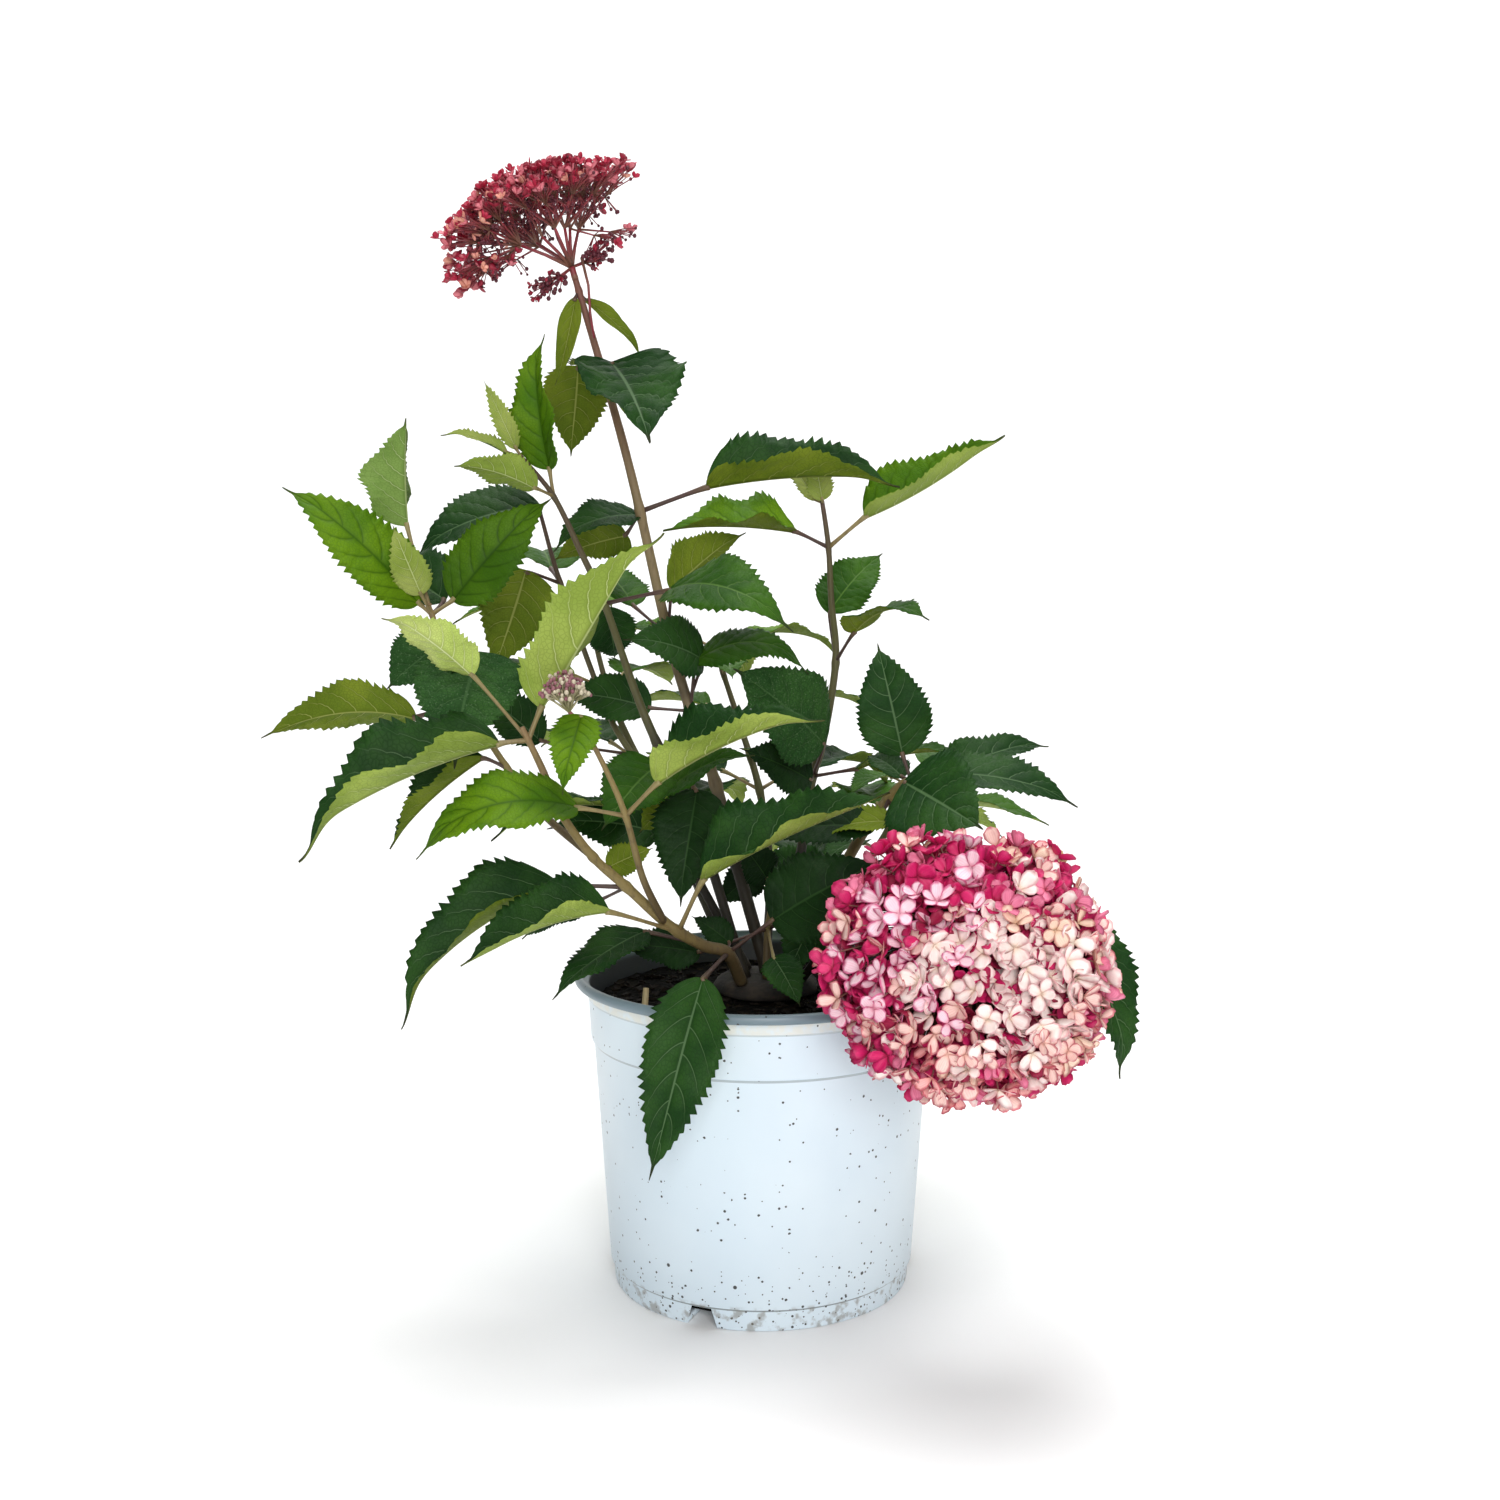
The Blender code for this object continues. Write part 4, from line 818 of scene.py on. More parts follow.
def leaf(blades, stalks, root, record, chance):
    """Adds a leaf's blade to the blades and its stalk to the stalks."""
    stem = heading_vector(record[1], record[2])
    base = root + stem * record[3]
    big = record[6] > 45
    places, quads, side = SHEETS[big]
    points, x, t = blade_points(places, base, record, chance)
    slots = np.where(side == 1, FINISHES.index(record[13]), FINISHES.index(record[12]))
    pattern = np.stack([0.5 + 0.5 * x, t], -1)[quads]
    blades.add(points, quads, slots, pattern, patch_of(places, quads, side))
    along = heading_vector(record[4], record[5])
    reach = record[3]
    first = root + stem * reach * 0.55
    path = []
    for k in range(9):
        q = k / 8
        a = root.lerp(first, q)
        b = first.lerp(base, q)
        c = base.lerp(base + along * 2.2, q)
        path.append(a.lerp(b, q).lerp(b.lerp(c, q), q))
    thick = 0.75 + 0.0065 * record[6]
    radii = [thick * (1.35 - 0.5 * math.sin(math.pi * min(1, 0.15 + k / 8))) for k in range(9)]
    tube(stalks, path, radii, 8, 0 if record[13] != "olive" else 1)


def vein_group():
    """The veins of a leaf by its map: fine lines, the soft valleys round them and by the midrib where shade
    is painted, and the net.
    """
    tree, given, made = new_group("leaf_veins", {"Map": "Vector"}, ["Veins", "ValleyShade", "Net"])
    flat = given["Map"]
    axes = node(tree, "SeparateXYZ", {0: flat}).outputs
    x = maths(tree, "MULTIPLY_ADD", axes[0], 2.0, -1.0)
    ax = maths(tree, "ABSOLUTE", x)
    swept = times(tree, maths(tree, "POWER", ax, VEIN_BEND), VEIN_SWEEP)
    phase = times(tree, maths(tree, "SUBTRACT", axes[1], swept), VEINS)
    phase = maths(tree, "ADD", phase, times(tree, maths(tree, "GREATER_THAN", x, 0.0), VEIN_OFFSET))
    drift = maths(tree, "MULTIPLY_ADD", axes[1], 5.3, times(tree, x, 2.1))
    phase = maths(tree, "MULTIPLY_ADD", maths(tree, "SINE", drift), 0.12, phase)
    off = maths(tree, "ABSOLUTE", maths(tree, "SUBTRACT", maths(tree, "FRACT", phase), 0.5))
    side = times(tree, between(tree, off, 0.462, 0.492), between(tree, ax, 1.0, 0.3, 0.15, 1.0))
    rib = between(tree, ax, 0.040, 0.014)
    # Painted shade in the soft valleys between the side veins; the output adds it beside the midrib.
    valley_shade = times(tree, between(tree, off, 0.30, 0.5), between(tree, ax, 1.0, 0.4, 0.3, 1.0))
    spread = node(tree, "Mapping", {"Vector": flat, "Scale": (22.0, 44.0, 1.0)}).outputs[0]
    cells = node(tree, "TexVoronoi", {"Vector": spread, "Scale": 1.0}, feature="DISTANCE_TO_EDGE",
                 voronoi_dimensions="2D").outputs["Distance"]
    tree.links.new(maths(tree, "MAXIMUM", rib, side), made["Veins"])
    tree.links.new(maths(tree, "MAXIMUM", valley_shade, between(tree, ax, 0.16, 0.0)), made["ValleyShade"])
    tree.links.new(between(tree, cells, 0.16, 0.0), made["Net"])
    return tree


veined = vein_group()


def leaf_finish(name, blade, second, vein, rough, vein_share=0.5, valley_shade=0.35, net=0.3, hair=0.0):
    """One side of a leaf: two blotched greens, with shade painted along the veins' valleys and by the
    midrib, darker lines in the net and at the long tip, fine veins and short pale hairs."""
    material, tree, shader = finish(name, rough)
    flat = node(tree, "UVMap", uv_map="pattern").outputs["UV"]
    place = here(tree)
    drawn = node(tree, "Group", {"Map": flat}, node_tree=veined).outputs
    colour = blend(tree, between(tree, cloud(tree, place, 30.0, 4.0), 0.38, 0.64), blade, second)
    fine = cloud(tree, place, 900.0, 2.0)
    # Painted shade in the valleys and by the midrib, with the net's darker lines.
    valley_shade_and_net = maths(tree, "MAXIMUM", times(tree, drawn["ValleyShade"], valley_shade), times(tree, drawn["Net"], net))
    colour = blend(tree, valley_shade_and_net, colour, tuple(0.45 * v for v in blade))
    colour = tint(tree, colour, vein, drawn["Veins"], vein_share)
    if hair:
        colour = tint(tree, colour, HAIR_TONE, between(tree, fine, 0.55, 0.75), hair)
    tip = between(tree, node(tree, "SeparateXYZ", {0: flat}).outputs[1], 0.88, 0.99)
    paint(tree, shader, tint(tree, colour, TIP_TONE, tip, 0.7), 0.10)
    height = maths(tree, "SUBTRACT", times(tree, fine, 0.4), times(tree, valley_shade_and_net, 1.2))
    relief(tree, shader, height, 0.45, 0.0007)
    return material


# The upper sides and the undersides: two greens, the veins' colour, the roughness, the shares of
# veins, painted valley shade and net where they aren't the usual ones, and how hairy the leaf is.
HAIR_TONE = (0.22, 0.34, 0.18)
TIP_TONE = (0.045, 0.035, 0.022)
UPPER_SIDES = {
    # The dark upper side is the deep green darkened as painted shade, for leaves deep inside the shrub.
    "dark": ((0.0045, 0.020, 0.004), (0.010, 0.036, 0.007), (0.030, 0.075, 0.020), 0.5, 0.6),
    "deep": ((0.0095, 0.042, 0.0075), (0.023, 0.075, 0.012), (0.085, 0.160, 0.065), 0.5, 0.75, 0.45),
    "mid": ((0.020, 0.074, 0.0045), (0.044, 0.125, 0.008), (0.090, 0.190, 0.030), 0.5, 0.6, 0.45),
    "leafy": ((0.038, 0.108, 0.003), (0.068, 0.158, 0.004), (0.014, 0.050, 0.002), 0.5, 0.6, 0.5),
    "bright": ((0.056, 0.150, 0.003), (0.115, 0.230, 0.005), (0.022, 0.075, 0.003), 0.5, 0.5, 0.5),
    "young": ((0.25, 0.34, 0.055), (0.40, 0.46, 0.12), (0.52, 0.58, 0.26), 0.6, 0.7, 0.5, 0.5),
    "hairy": ((0.016, 0.060, 0.012), (0.032, 0.094, 0.019), (0.07, 0.15, 0.05), 0.7, 0.4, 0.5, 0.5, 0.22),
}
UNDERSIDES = {
    "olive": ((0.105, 0.158, 0.010), (0.165, 0.220, 0.017), (0.29, 0.32, 0.08), 0.65, 0.8, 0.45, 0.35),
    # The pale underside is partly the leaf's own paler colour and partly painted light shining through it.
    "pale": ((0.23, 0.320, 0.050), (0.32, 0.410, 0.080), (0.50, 0.57, 0.23), 0.65, 0.85, 0.5, 0.3),
    "soft": ((0.14, 0.245, 0.047), (0.19, 0.300, 0.070), (0.38, 0.47, 0.19), 0.65, 0.85, 0.5, 0.35),
    "fresh": ((0.45, 0.57, 0.13), (0.54, 0.63, 0.19), (0.70, 0.76, 0.40), 0.65, 0.85, 0.6, 0.5),
}
FINISHES = list(UPPER_SIDES) + list(UNDERSIDES)
LEAF_MATERIALS = ([leaf_finish("leaf_" + name, *look) for name, look in UPPER_SIDES.items()]
                  + [leaf_finish("under_" + name, *look) for name, look in UNDERSIDES.items()])
SHEETS = {True: sheet(12, 120), False: sheet(10, 72)}
STALKS = [bark_finish("stalk_tan", (0.21, 0.155, 0.060), (0.24, 0.185, 0.075), (0.26, 0.22, 0.085), 0.5),
          bark_finish("stalk_dark", (0.060, 0.032, 0.024), (0.070, 0.034, 0.028), (0.12, 0.075, 0.04), 0.5)]


def rear_leaves(heading, places, chance):
    """Pairs of leaves by rule: each pair crosses the one below and grows smaller upwards."""
    records = []
    for k, at in enumerate(places):
        for side in ((64, -64), (0, 180))[k % 2]:
            turn = heading + side + chance.uniform(-8, 8)
            size = REAR_LEAF * (0.5 if side == 180 else 1.0 - 0.06 * k) * chance.uniform(0.94, 1.06)
            tone = ("deep", "deep", "mid", "mid", "bright")[min(4, k)]
            records.append((at, turn, 24, REAR_STALK * size / REAR_LEAF, turn + chance.uniform(-10, 10),
                            chance.uniform(-12, 0), size, turn, 74, 0.58, 0.11, 11, tone, "pale"))
    return records


crown_chance = random.Random(11)
rear = [(name, cane_name, rear_leaves(heading, places, crown_chance) + inner)
        for name, cane_name, heading, places, inner in REAR_SHOOTS]
PARTS = {
    "leaves_of_tall_cane": ("leaves_tall_low", "leaves_tall_high"),
    "leaves_of_middle_canes": ("leaves_mid", "leaves_inner", "leaves_low_front"),
    "leaves_of_left_cane": ("leaves_left_low", "leaves_left_front", "leaves_left_outer", "leaves_front"),
    "leaves_of_right_canes": ("leaves_right_low", "leaves_right_high", "leaves_bloom", "leaves_low_right"),
    "leaves_of_rear_canes": ("leaves_rear_left", "leaves_rear", "leaves_rear_right"),
}
shoots = {name: (cane_name, records) for name, cane_name, records in SHOOTS + rear}
leaf_chance = random.Random(7)
stalks = Gathered()
for part, members in PARTS.items():
    blades = Gathered()
    for member in members:
        cane_name, records = shoots[member]
        for record in records:
            leaf(blades, stalks, on_cane(cane_points(cane_name), record[0]), record, leaf_chance)
    made = blades.piece(part, LEAF_MATERIALS)
    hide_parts(*members)
leaf_stalks = stalks.piece("leaf_stalks", STALKS, 4.0)

# The mophead: a domed head of sterile florets, each of three to five round, cupped sepals on a
# thin stalk that fans out from the cane's tip. The outer florets have faded to cream and blush,
# and those at the rim and in the hollows are still deep magenta; some inner ones in the hollows
# are a darker magenta that is painted shade.
BLOOM_CENTRE = Vector((110, -137, 221))
BLOOM_REACH = [73, 76, 80, 69, 81, 82, 79, 73, 69, 67, 71, 74]
BLOOM_FRONT = 66.0
BLOOM_BACK = 24.0
BLOOM_OUTER = 455
BLOOM_INNER = 300
BLOOM_WIDEST = 84
BLOOM_HUB = Vector((111, -126, 244))
GOLDEN = math.radians(137.508)


def petal_group():
    """Where a point lies on a sepal: how near its edge, how near its foot, and its fine veins."""
    tree, given, made = new_group("petal_places", {"Map": "Vector"}, ["Edge", "Foot", "Veins"])
    axes = node(tree, "SeparateXYZ", {0: given["Map"]}).outputs
    x = maths(tree, "ABSOLUTE", maths(tree, "MULTIPLY_ADD", axes[0], 2.0, -1.0))
    edge = maths(tree, "MAXIMUM", between(tree, x, 0.60, 0.93), between(tree, axes[1], 0.80, 0.97))
    fan = maths(tree, "SINE", times(tree, axes[0], 44.0))
    tree.links.new(edge, made["Edge"])
    tree.links.new(between(tree, axes[1], 0.40, 0.05), made["Foot"])
    tree.links.new(between(tree, fan, 0.55, 1.0), made["Veins"])
    return tree


petal_places = petal_group()


def petal_finish(name, colour, edge, foot, edge_share=0.55, vein_share=0.18):
    """A sepal: its own colour, deeper along the edge and veins and greener at its foot."""
    material, tree, shader = finish(name, 0.55)
    lies = node(tree, "Group", {"Map": node(tree, "UVMap", uv_map="pattern").outputs["UV"]},
                node_tree=petal_places).outputs
    second = tuple(0.88 * c + 0.12 * e for c, e in zip(colour, edge))
    shade = blend(tree, between(tree, cloud(tree, here(tree), 130.0), 0.4, 0.7), colour, second)
    shade = tint(tree, shade, edge, lies["Veins"], vein_share)
    shade = tint(tree, shade, edge, lies["Edge"], edge_share)
    paint(tree, shader, tint(tree, shade, foot, lies["Foot"], 0.55))
    relief(tree, shader, lies["Veins"], 0.12, 0.0004)
    return material


# Each sepal's colour, its edge's and its foot's, and the shares of the edge and the veins.
MOPHEAD_TONES = {
    "petal_cream": ((0.98, 0.87, 0.82), (0.66, 0.16, 0.21), (0.84, 0.66, 0.46), 0.55, 0.06),
    "petal_blush": ((0.95, 0.68, 0.61), (0.54, 0.05, 0.10), (0.74, 0.42, 0.32), 0.8, 0.22),
    "petal_lilac": ((0.93, 0.68, 0.75), (0.60, 0.03, 0.19), (0.72, 0.22, 0.32), 0.85, 0.22),
    "petal_salmon": ((0.90, 0.44, 0.42), (0.52, 0.04, 0.08), (0.60, 0.22, 0.16), 0.8, 0.25),
    "petal_rose": ((0.80, 0.22, 0.36), (0.42, 0.010, 0.07), (0.50, 0.06, 0.09), 0.5, 0.25),
    "petal_magenta": ((0.66, 0.012, 0.14), (0.30, 0.003, 0.05), (0.32, 0.02, 0.05), 0.5, 0.2),
    "petal_peach": ((0.92, 0.70, 0.55), (0.52, 0.12, 0.11), (0.60, 0.36, 0.18), 0.75, 0.2),
    "petal_green": ((0.66, 0.54, 0.26), (0.50, 0.24, 0.12), (0.30, 0.26, 0.08), 0.5, 0.2),
    # Painted shade: this is the magenta darkened for inner florets deep in the hollows.
    "petal_shaded_magenta": ((0.36, 0.008, 0.060), (0.16, 0.003, 0.02), (0.16, 0.015, 0.02), 0.5, 0.2),
}
MOPHEAD_FINISHES = [petal_finish(name, *tones) for name, tones in MOPHEAD_TONES.items()]
CREAM, BLUSH, LILAC, SALMON, ROSE, MAGENTA, PEACH, GREENISH, SHADED_MAGENTA = range(9)
PETAL_SHEET = sheet(3, 4)


def petal(gathered, centre, out, turn, length, wide, opening, cup, slot):
    """Adds one sepal that leaves the centre at this turn round `out`, opened from it in degrees."""
    places, quads, side = PETAL_SHEET
    first = out.orthogonal().normalized()
    spoke = first * math.cos(turn) + out.cross(first) * math.sin(turn)
    along = (spoke * math.sin(math.radians(opening)) + out * math.cos(math.radians(opening))).normalized()
    across = out.cross(spoke).normalized()
    face = across.cross(along) * -1
    x, t = places[:, 0], (places[:, 1] + 1) / 2
    half = 0.5 * wide * np.maximum(np.sin(math.pi * np.clip(t, 0.01, 0.985) ** 1.35) ** 0.58, 0.14)
    rise = cup * length * (t ** 2 * 0.30 + x ** 2 * (half / wide) * 0.35)
    rise = rise + np.where(places[:, 2] > 0.5, 0.14, -0.14)
    points = (np.array(centre) + np.array(along) * (t * length)[:, None]
              + np.array(across) * (half * x)[:, None] + np.array(face) * rise[:, None])
    pattern = np.stack([0.5 + 0.5 * x, t], -1)[quads]
    gathered.add(points, quads, np.full(len(quads), slot), pattern, patch_of(places, quads, side))


def bloom_reach(angle):
    """The mophead's reach at this angle, between the twelfths that are measured."""
    place = (angle / (2 * math.pi) * 12) % 12
    i = int(place)
    t = 0.5 - 0.5 * math.cos(math.pi * (place - i))
    return BLOOM_REACH[i] * (1 - t) + BLOOM_REACH[(i + 1) % 12] * t


def bloom_point(angle, polar, share):
    """A point of the mophead: polar is 0 at the front and 90 at its rim."""
    reach = bloom_reach(angle) * share
    depth = (BLOOM_FRONT if polar < math.pi / 2 else BLOOM_BACK) * share
    return BLOOM_CENTRE + Vector((
        reach * math.sin(polar) ** 0.8 * math.cos(angle), -depth * math.cos(polar),
        reach * math.sin(polar) ** 0.8 * math.sin(angle)))


def floret_slot(place, inner, chance):
    """The finish of a floret, by where it sits: cream right of the middle, lilac to the left,
    peach below and magenta round the rim."""
    x = (place.x - BLOOM_CENTRE.x) / BLOOM_WIDEST
    z = (place.z - BLOOM_CENTRE.z) / BLOOM_WIDEST
    rim = math.hypot(x, z)
    if inner:
        # Inner florets: magenta, and magenta darkened as painted shade.
        choices = (MAGENTA, MAGENTA, MAGENTA, SHADED_MAGENTA) if x < 0.1 or z > 0.3 else (SHADED_MAGENTA, SHADED_MAGENTA, MAGENTA, MAGENTA)
    elif place.y > BLOOM_CENTRE.y:
        choices = (MAGENTA, MAGENTA, ROSE, SALMON, BLUSH, GREENISH)
    elif rim > 0.84:
        choices = (MAGENTA, MAGENTA, MAGENTA, MAGENTA, ROSE, BLUSH, LILAC)
    elif math.hypot(x - 0.18, z - 0.08) < 0.33:
        choices = (CREAM,)
    elif z > 0.50:
        choices = (CREAM, PEACH, BLUSH, ROSE, MAGENTA) if x > 0 else (LILAC, LILAC, LILAC, ROSE, MAGENTA)
    elif x < -0.55:
        choices = (LILAC, LILAC, LILAC, MAGENTA, MAGENTA, BLUSH)
    elif x < 0 and z > -0.15:
        choices = (LILAC, LILAC, CREAM, CREAM, LILAC, CREAM, BLUSH)
    elif z < -0.5:
        choices = (BLUSH, BLUSH, SALMON, MAGENTA, ROSE, CREAM, SALMON)
    else:
        choices = (BLUSH, BLUSH, CREAM, CREAM, BLUSH, PEACH, SALMON, ROSE)
    return chance.choice(choices)


def floret(gathered, centre, out, size, slot, chance, opening=80):
    """Adds a floret: three to five sepals round its centre."""
    count = chance.choice((3, 4, 4, 4, 4, 5))
    turn = chance.uniform(0, 2 * math.pi)
    shape = chance.uniform(0.70, 1.02)
    for k in range(count):
        own = size * chance.uniform(0.86, 1.1)
        petal(gathered, centre, out, turn + 2 * math.pi * (k + chance.uniform(-0.08, 0.08)) / count, own,
              own * shape * chance.uniform(0.88, 1.06), opening + chance.uniform(-16, 12),
              chance.uniform(-0.2, 2.0), slot)


def scatter(chance):
    """A vector with each of its parts anywhere from -1 to 1."""
    return Vector([chance.uniform(-1, 1) for _ in range(3)])


def twig(gathered, start, end, radii, sides, slot, lift=(0, 0, 0)):
    """Adds a tapering twig from start to end, with its middle lifted."""
    tube(gathered, [start, start.lerp(end, 0.5) + Vector(lift), end], radii, sides, slot)


bloom_chance = random.Random(5)
sepals = Gathered()
heart = Gathered()
pedicels = Gathered()
for k in range(BLOOM_OUTER + BLOOM_INNER):
    inner = k >= BLOOM_OUTER
    i = k - BLOOM_OUTER if inner else k
    total = BLOOM_INNER if inner else BLOOM_OUTER
    polar = math.acos(1 - (1.45 if inner else 1.82) * ((i + 0.5) / total) ** 1.2)
    angle = i * GOLDEN + (0.7 if inner else 0)
    share = 0.84 if inner else 0.94 + bloom_chance.uniform(-0.10, 0.05)
    centre = bloom_point(angle, polar, share)
    out = (centre - bloom_point(angle, polar, 0.55)).normalized()
    loose = scatter(bloom_chance) * 0.75
    slot = floret_slot(centre, inner, bloom_chance)
    size = bloom_chance.uniform(7.2, 10.6) * (1.15 if slot == CREAM else 1.0)
    floret(heart if inner else sepals, centre, (out + loose).normalized(), size, slot, bloom_chance, 78)
    root = BLOOM_CENTRE.lerp(BLOOM_HUB, 0.75) + (centre - BLOOM_CENTRE) * 0.30
    tube(pedicels, [root, root.lerp(centre, 0.55) + out * 1.5, centre], [0.75, 0.55, 0.45], 4, 0)
mophead = sepals.piece("mophead_sepals", MOPHEAD_FINISHES, 1.0)
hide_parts("bloom_mophead")
mophead_heart = heart.piece("mophead_inner_sepals", MOPHEAD_FINISHES, 1.0)

# The mophead's stalks: the cane's tip splits into stout rays, which carry the florets' stalks.
for k in range(16):
    for polar in (60, 105):
        tip = bloom_point(2 * math.pi * k / 16, math.radians(polar), 0.62)
        twig(pedicels, BLOOM_HUB, tip, [1.7, 1.2, 0.8], 6, 0, (0, 3, 0))
tube(pedicels, [on_cane(cane_points("bloom"), FLOWER_ENDS["bloom"] + 1.2 * k / 8) for k in range(9)],
     [3.0 - 0.08 * k for k in range(9)], 12, 0)
RAYS_GREEN, RAYS_RED, RAYS_PALE = range(3)
RAY_FINISHES = [
    bark_finish("rays_green", (0.16, 0.12, 0.05), (0.20, 0.11, 0.06), (0.24, 0.08, 0.07), 0.6),
    bark_finish("rays_red", (0.20, 0.085, 0.055), (0.22, 0.030, 0.036), (0.26, 0.022, 0.038), 0.5),
    bark_finish("rays_pale", (0.30, 0.28, 0.13), (0.38, 0.34, 0.20), (0.42, 0.36, 0.24), 0.5)]
mophead_rays = pedicels.piece("mophead_stalks", RAY_FINISHES, 4.0)

# The flat cluster on the tall cane: dark red rays fork and fork again to a domed top of small
# crimson florets, with dark buds on hair-thin stalks below. The unopened cluster in front is
# the same, all buds, no wider than a coin.
CORYMB_HUB = Vector((-110, -10, 607))
CORYMB_CENTRE = Vector((-129, -10, 638))
CORYMB_TILT = 21.0
CORYMB_REACH = (55.0, 46.0)
CORYMB_DOME = 22.0
CORYMB_RAYS = 9
CORYMB_LOW = [(-172, -14, 603), (-168, 6, 610), (-177, -6, 613), (-164, -26, 606), (-172, -6, 598),
              (-152, 8, 610), (-148, -22, 608), (-178, 8, 606), (-88, -14, 622), (-78, 0, 628)]
CORYMB_BUDS = [(-127, -16, 594), (-118, -22, 597), (-97, -16, 610), (-91, -12, 615)]
CORYMB_ENDS = 62
SIDE_STALK = [(-104, -14, 612), (-100, -16, 596), (-99, -17, 580), (-97, -16, 566)]
BUD_HUB = Vector((-102, -130, 359))
BUD_CENTRE = Vector((-104, -131, 368))
CRIMSON_TONES = {
    "petal_crimson": ((0.32, 0.005, 0.030), (0.13, 0.002, 0.014), (0.22, 0.010, 0.02)),
    "petal_ruby": ((0.50, 0.016, 0.060), (0.22, 0.004, 0.02), (0.30, 0.02, 0.03)),
    "petal_dusky": ((0.72, 0.20, 0.24), (0.36, 0.015, 0.05), (0.44, 0.08, 0.07)),
    "petal_apricot": ((0.80, 0.38, 0.28), (0.52, 0.08, 0.09), (0.62, 0.26, 0.14)),
    "bud_dark": ((0.10, 0.010, 0.022), (0.05, 0.005, 0.01), (0.10, 0.02, 0.02)),
    "bud_cream": ((0.56, 0.50, 0.36), (0.30, 0.12, 0.14), (0.36, 0.34, 0.18)),
    "bud_mauve": ((0.26, 0.10, 0.12), (0.14, 0.03, 0.05), (0.28, 0.20, 0.13)),
}
CRIMSONS = [petal_finish(name, *tones) for name, tones in CRIMSON_TONES.items()]
CRIMSON, RUBY, DUSKY, APRICOT, BUD_DARK, BUD_CREAM, BUD_MAUVE = range(7)
FLORET_CHOICES = (CRIMSON,) * 4 + (RUBY,) * 4 + (DUSKY,) * 3 + (APRICOT,)


def bud_shape():
    """A small round bud of quads, from a cube that is divided and rounded."""
    bm = bmesh.new()
    bmesh.ops.create_cube(bm, size=2.0)
    bmesh.ops.subdivide_edges(bm, edges=bm.edges[:], cuts=1, use_grid_fill=True)
    for v in bm.verts:
        v.co.normalize()
    bm.verts.index_update()
    places = np.array([v.co[:] for v in bm.verts])
    quads = np.array([[v.index for v in f.verts] for f in bm.faces])
    bm.free()
    return places, quads


BUD = bud_shape()


def bud(gathered, centre, size, slot):
    """Adds a bud of this radius, a little taller than wide."""
    places, quads = BUD
    pattern = (0.5 + 0.25 * places[:, [0, 2]])[quads]
    patch = np.concatenate([np.zeros(pattern.shape[:2] + (1,)), pattern], -1)
    gathered.add(np.array(centre) + places * (size, size, size * 1.15), quads,
                 np.full(len(quads), slot), pattern, patch)


def dome_point(centre, flat_x, reach, share, angle):
    """The point on the cluster's tilted plane at this angle and share of its reach."""
    return (centre + flat_x * reach[0] * share * math.cos(angle)
            + Vector((0, reach[1] * share * math.sin(angle), 0)))


def cluster_ends(centre, tilt, reach, dome, total, chance):
    """The ends of a flat-topped cluster's twigs, spread by the golden angle over its dome."""
    lean = math.radians(tilt)
    flat_x = Vector((math.cos(lean), 0, math.sin(lean)))
    up = Vector((-math.sin(lean), 0, math.cos(lean)))
    ends = []
    for k in range(total):
        share = math.sqrt((k + 0.5) / total)
        at = dome_point(centre, flat_x, reach, share, k * GOLDEN)
        ends.append(at + up * dome * (1 - share * share) * chance.uniform(0.75, 1.1))
    return ends, up, flat_x


chance = random.Random(3)
petals = Gathered()
rays = Gathered()
ends, up, flat_x = cluster_ends(CORYMB_CENTRE, CORYMB_TILT, CORYMB_REACH, CORYMB_DOME, CORYMB_ENDS, chance)
forks = []
for k in range(CORYMB_RAYS):
    at = dome_point(CORYMB_CENTRE, flat_x, CORYMB_REACH, 0.62 if k % 2 else 0.34,
                    2 * math.pi * k / CORYMB_RAYS)
    forks.append(CORYMB_HUB.lerp(at, 0.58))
    twig(rays, CORYMB_HUB, forks[-1], [1.25, 1.0, 0.85], 6, RAYS_RED, up * 0.8)
for end in ends + [Vector(p) for p in CORYMB_LOW]:
    low = (end - CORYMB_HUB).dot(up) < 12 and end.x > -140
    fork = min(forks, key=lambda f: (f - end).length)
    knot = fork.lerp(end, 0.62)
    twig(rays, fork, knot, [0.75, 0.62, 0.5], 5, RAYS_RED)
    for j in range(9):
        spread = scatter(chance)
        tip = end + (spread - up * spread.dot(up) * 0.5) * (8.0 if not low else 6.0)
        twig(rays, knot, tip, [0.4, 0.34, 0.28], 4, RAYS_RED, up * 0.6)
        if j < (7 if not low else 2):
            slot = chance.choice(FLORET_CHOICES)
            floret(petals, tip, (up + spread * 0.9).normalized(), chance.uniform(3.4, 5.4), slot, chance, 68)
        else:
            bud(petals, tip, chance.uniform(0.8, 1.25), BUD_DARK)
    for j in range(5):
        tip = knot + scatter(chance) * 6.5 - up * 3
        tube(rays, [knot, tip], [0.34, 0.28], 4, RAYS_RED)
        bud(petals, tip, chance.uniform(0.75, 1.2), BUD_DARK)
for end in CORYMB_BUDS:
    knot = CORYMB_HUB.lerp(Vector(end), 0.6)
    twig(rays, CORYMB_HUB, knot, [0.9, 0.75, 0.6], 5, RAYS_RED)
    for j in range(22):
        spread = scatter(chance)
        tip = Vector(end) + spread * 5.6
        tube(rays, [knot, tip], [0.36, 0.28], 4, RAYS_RED)
        if j < 18:
            bud(petals, tip, chance.uniform(1.0, 1.6), BUD_DARK)
        else:
            floret(petals, tip, spread.normalized(), chance.uniform(2.6, 3.6), CRIMSON, chance, 60)
tube(rays, SIDE_STALK, [0.9, 0.8, 0.8, 0.7], 6, RAYS_RED)
tube(rays, [on_cane(cane_points("tall"), FLOWER_ENDS["tall"] + 0.3 * k / 4) for k in range(5)],
     [2.0, 2.0, 1.9, 1.9, 2.1], 12, RAYS_RED)
small_petals = Gathered()
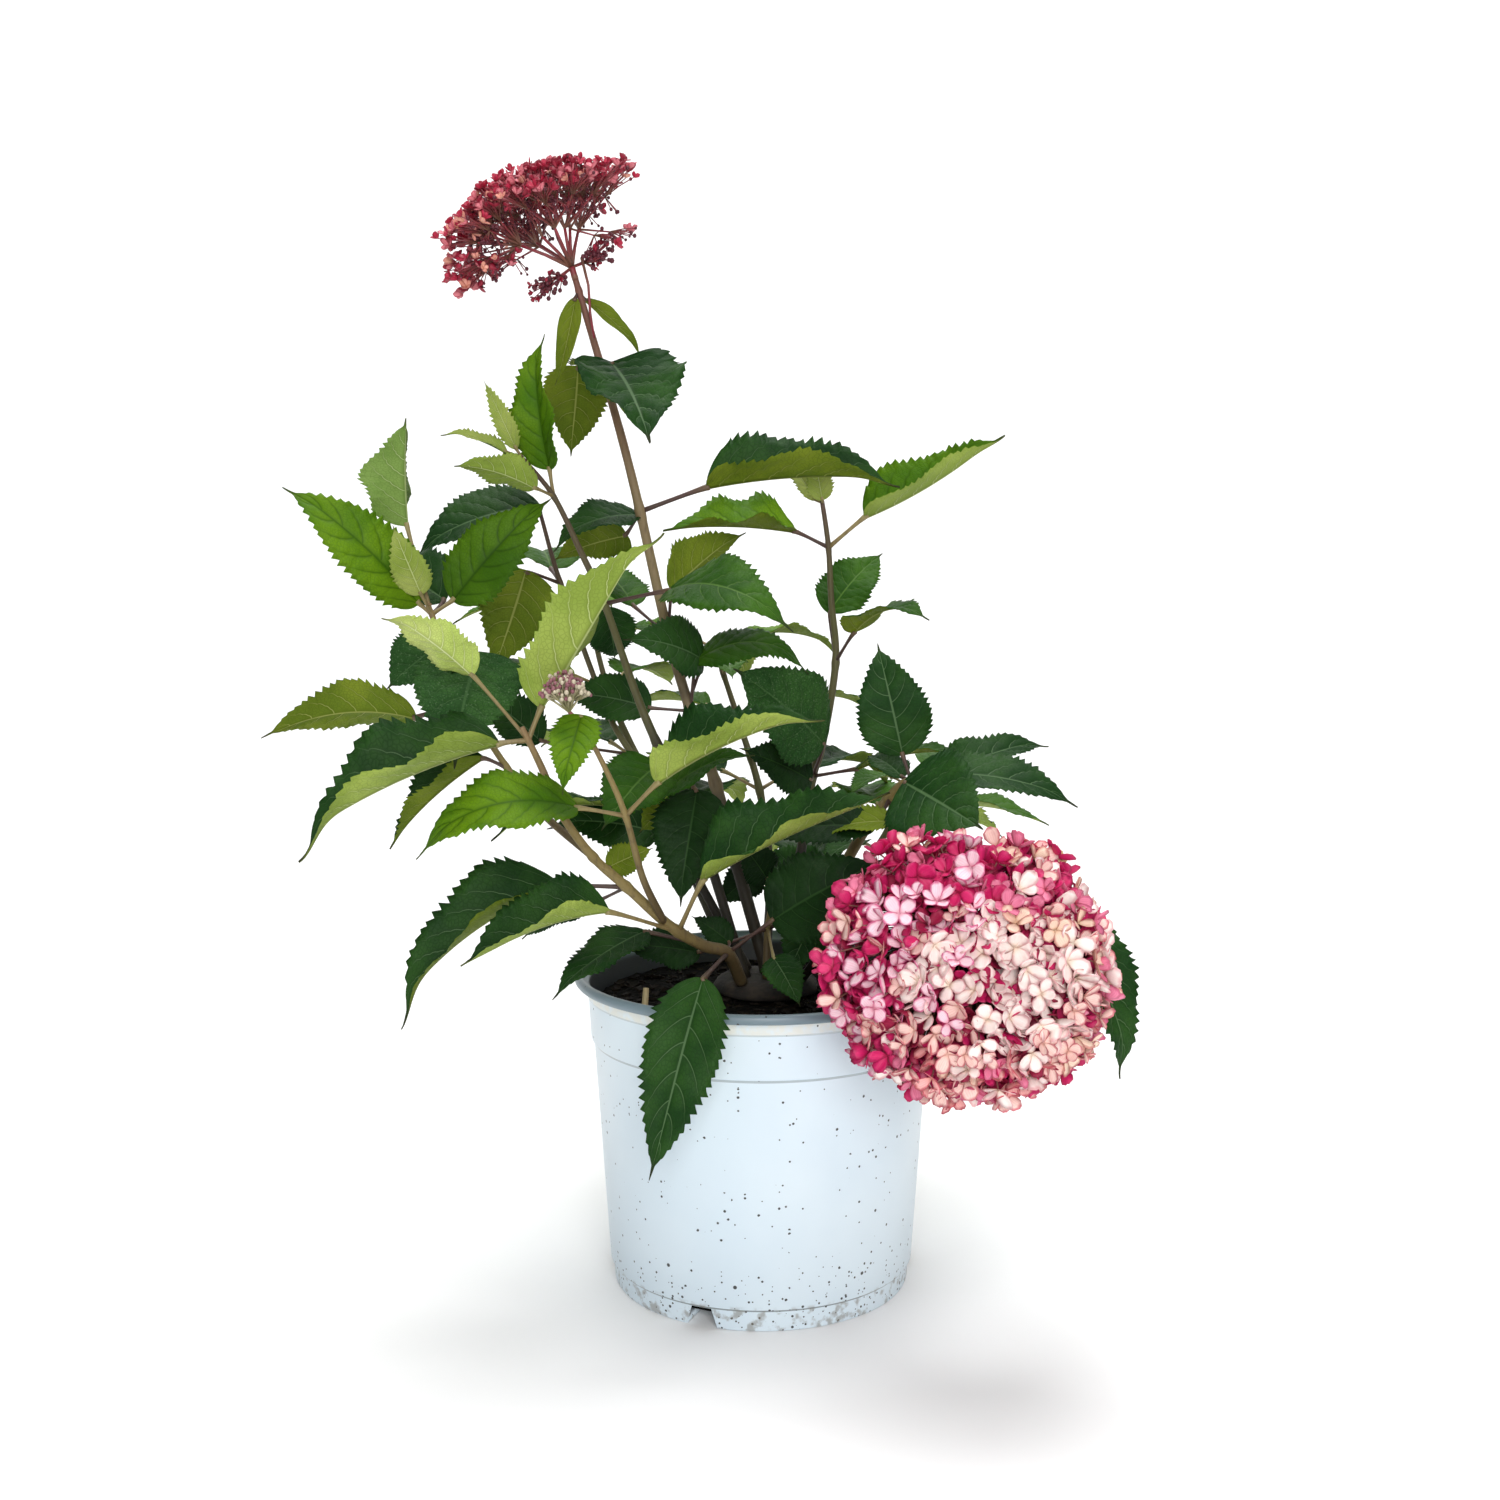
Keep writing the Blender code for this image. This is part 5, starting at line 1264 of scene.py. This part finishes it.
for end in cluster_ends(BUD_CENTRE, 0.0, (11.0, 10.0), 11.0, 26, chance)[0]:
    knot = BUD_HUB.lerp(end, 0.55)
    tube(rays, [BUD_HUB, knot, end], [0.75, 0.55, 0.4], 5, RAYS_PALE)
    for j in range(7):
        spread = scatter(chance)
        tip = end + Vector((spread.x * 3.4, spread.y * 3.4, spread.z * 2.6))
        tube(rays, [knot, tip], [0.32, 0.26], 4, RAYS_PALE)
        bud(small_petals, tip, chance.uniform(0.85, 1.35), BUD_MAUVE if chance.random() < 0.55 else BUD_CREAM)
tube(rays, [on_cane(cane_points("front"), FLOWER_ENDS["front"] + 0.6 * k / 4) for k in range(5)],
     [1.1] * 5, 10, RAYS_GREEN)
cluster = petals.piece("crimson_florets", CRIMSONS, 1.0)
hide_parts("corymb_top")
small = small_petals.piece("unopened_buds", CRIMSONS, 1.0)
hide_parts("corymb_small")
cluster_rays = rays.piece("flower_rays", RAY_FINISHES, 4.0)

# The studio: one pale sweep of paper under and behind the plant, a broad soft lamp in front, one
# straight above, one that lights the paper behind, and even light all round.
SWEEP_SIDE = 4000
SWEEP_FRONT = -3500
SWEEP_START = 1400
SWEEP_RADIUS = 900
SWEEP_TOP = 4000
bm = bmesh.new()
curve = [(SWEEP_START + SWEEP_RADIUS * math.sin(a), SWEEP_RADIUS - SWEEP_RADIUS * math.cos(a))
         for a in [math.pi / 2 * k / 12 for k in range(1, 13)]]
sweep = [bm.verts.new((-SWEEP_SIDE, y, z)) for y, z in [
    (SWEEP_FRONT, 0), (SWEEP_START, 0), *curve, (SWEEP_START + SWEEP_RADIUS, SWEEP_TOP)]]
line = [bm.edges.new(pair) for pair in zip(sweep, sweep[1:])]
wide = bmesh.ops.extrude_edge_only(bm, edges=line)["geom"]
bmesh.ops.translate(bm, vec=(2 * SWEEP_SIDE, 0, 0),
                    verts=[v for v in wide if isinstance(v, bmesh.types.BMVert)])
bmesh.ops.recalc_face_normals(bm, faces=bm.faces)
paper, _, paper_shader = finish("pale_paper", 0.9)
paper_shader.inputs["Base Color"].default_value = (0.98, 0.98, 0.98, 1.0)
paper_shader.inputs["Specular IOR Level"].default_value = 0.1
floor = piece(bm, "paper_sweep", [paper], 60)


def lamp(name, place, aim, size, power):
    """A round, soft lamp of this width and power, which points at its aim. In metres and watts."""
    light = bpy.data.lights.new(name, "AREA")
    light.shape = "DISK"
    light.size = size
    light.energy = power
    made = bpy.data.objects.new(name, light)
    made.location = place
    made.rotation_euler = (Vector(aim) - Vector(place)).to_track_quat("-Z", "Y").to_euler()
    bpy.context.scene.collection.objects.link(made)


lamp("lamp_front", (0.2, -2.8, 1.3), (0, 0, 0.3), 1.5, 52.0)
lamp("lamp_above", (-0.02, 0.0, 3.0), (0, 0, 0.0), 1.6, 42.0)
lamp("lamp_paper", (0, 0.9, 3.2), (0, 2.3, 1.0), 2.4, 45.0)
world = bpy.data.worlds.new("even_light")
world.use_nodes = True
world.node_tree.nodes["Background"].inputs["Color"].default_value = (1.0, 1.0, 1.0, 1.0)
world.node_tree.nodes["Background"].inputs["Strength"].default_value = 0.30
bpy.context.scene.world = world
bpy.context.scene.view_settings.view_transform = "Standard"

# The camera: a little above the middle of the plant and tipped down, as in the photograph.
CAMERA_PLACE = (-0.0068, -1.048, 0.438)
CAMERA_DIP = math.radians(6.17)
view = bpy.data.cameras.new("camera")
view.lens = 42.0
view.sensor_width = 36.0
camera = bpy.data.objects.new("camera", view)
camera.location = CAMERA_PLACE
camera.rotation_euler = (math.pi / 2 - CAMERA_DIP, 0, 0)
bpy.context.scene.collection.objects.link(camera)
bpy.context.scene.camera = camera
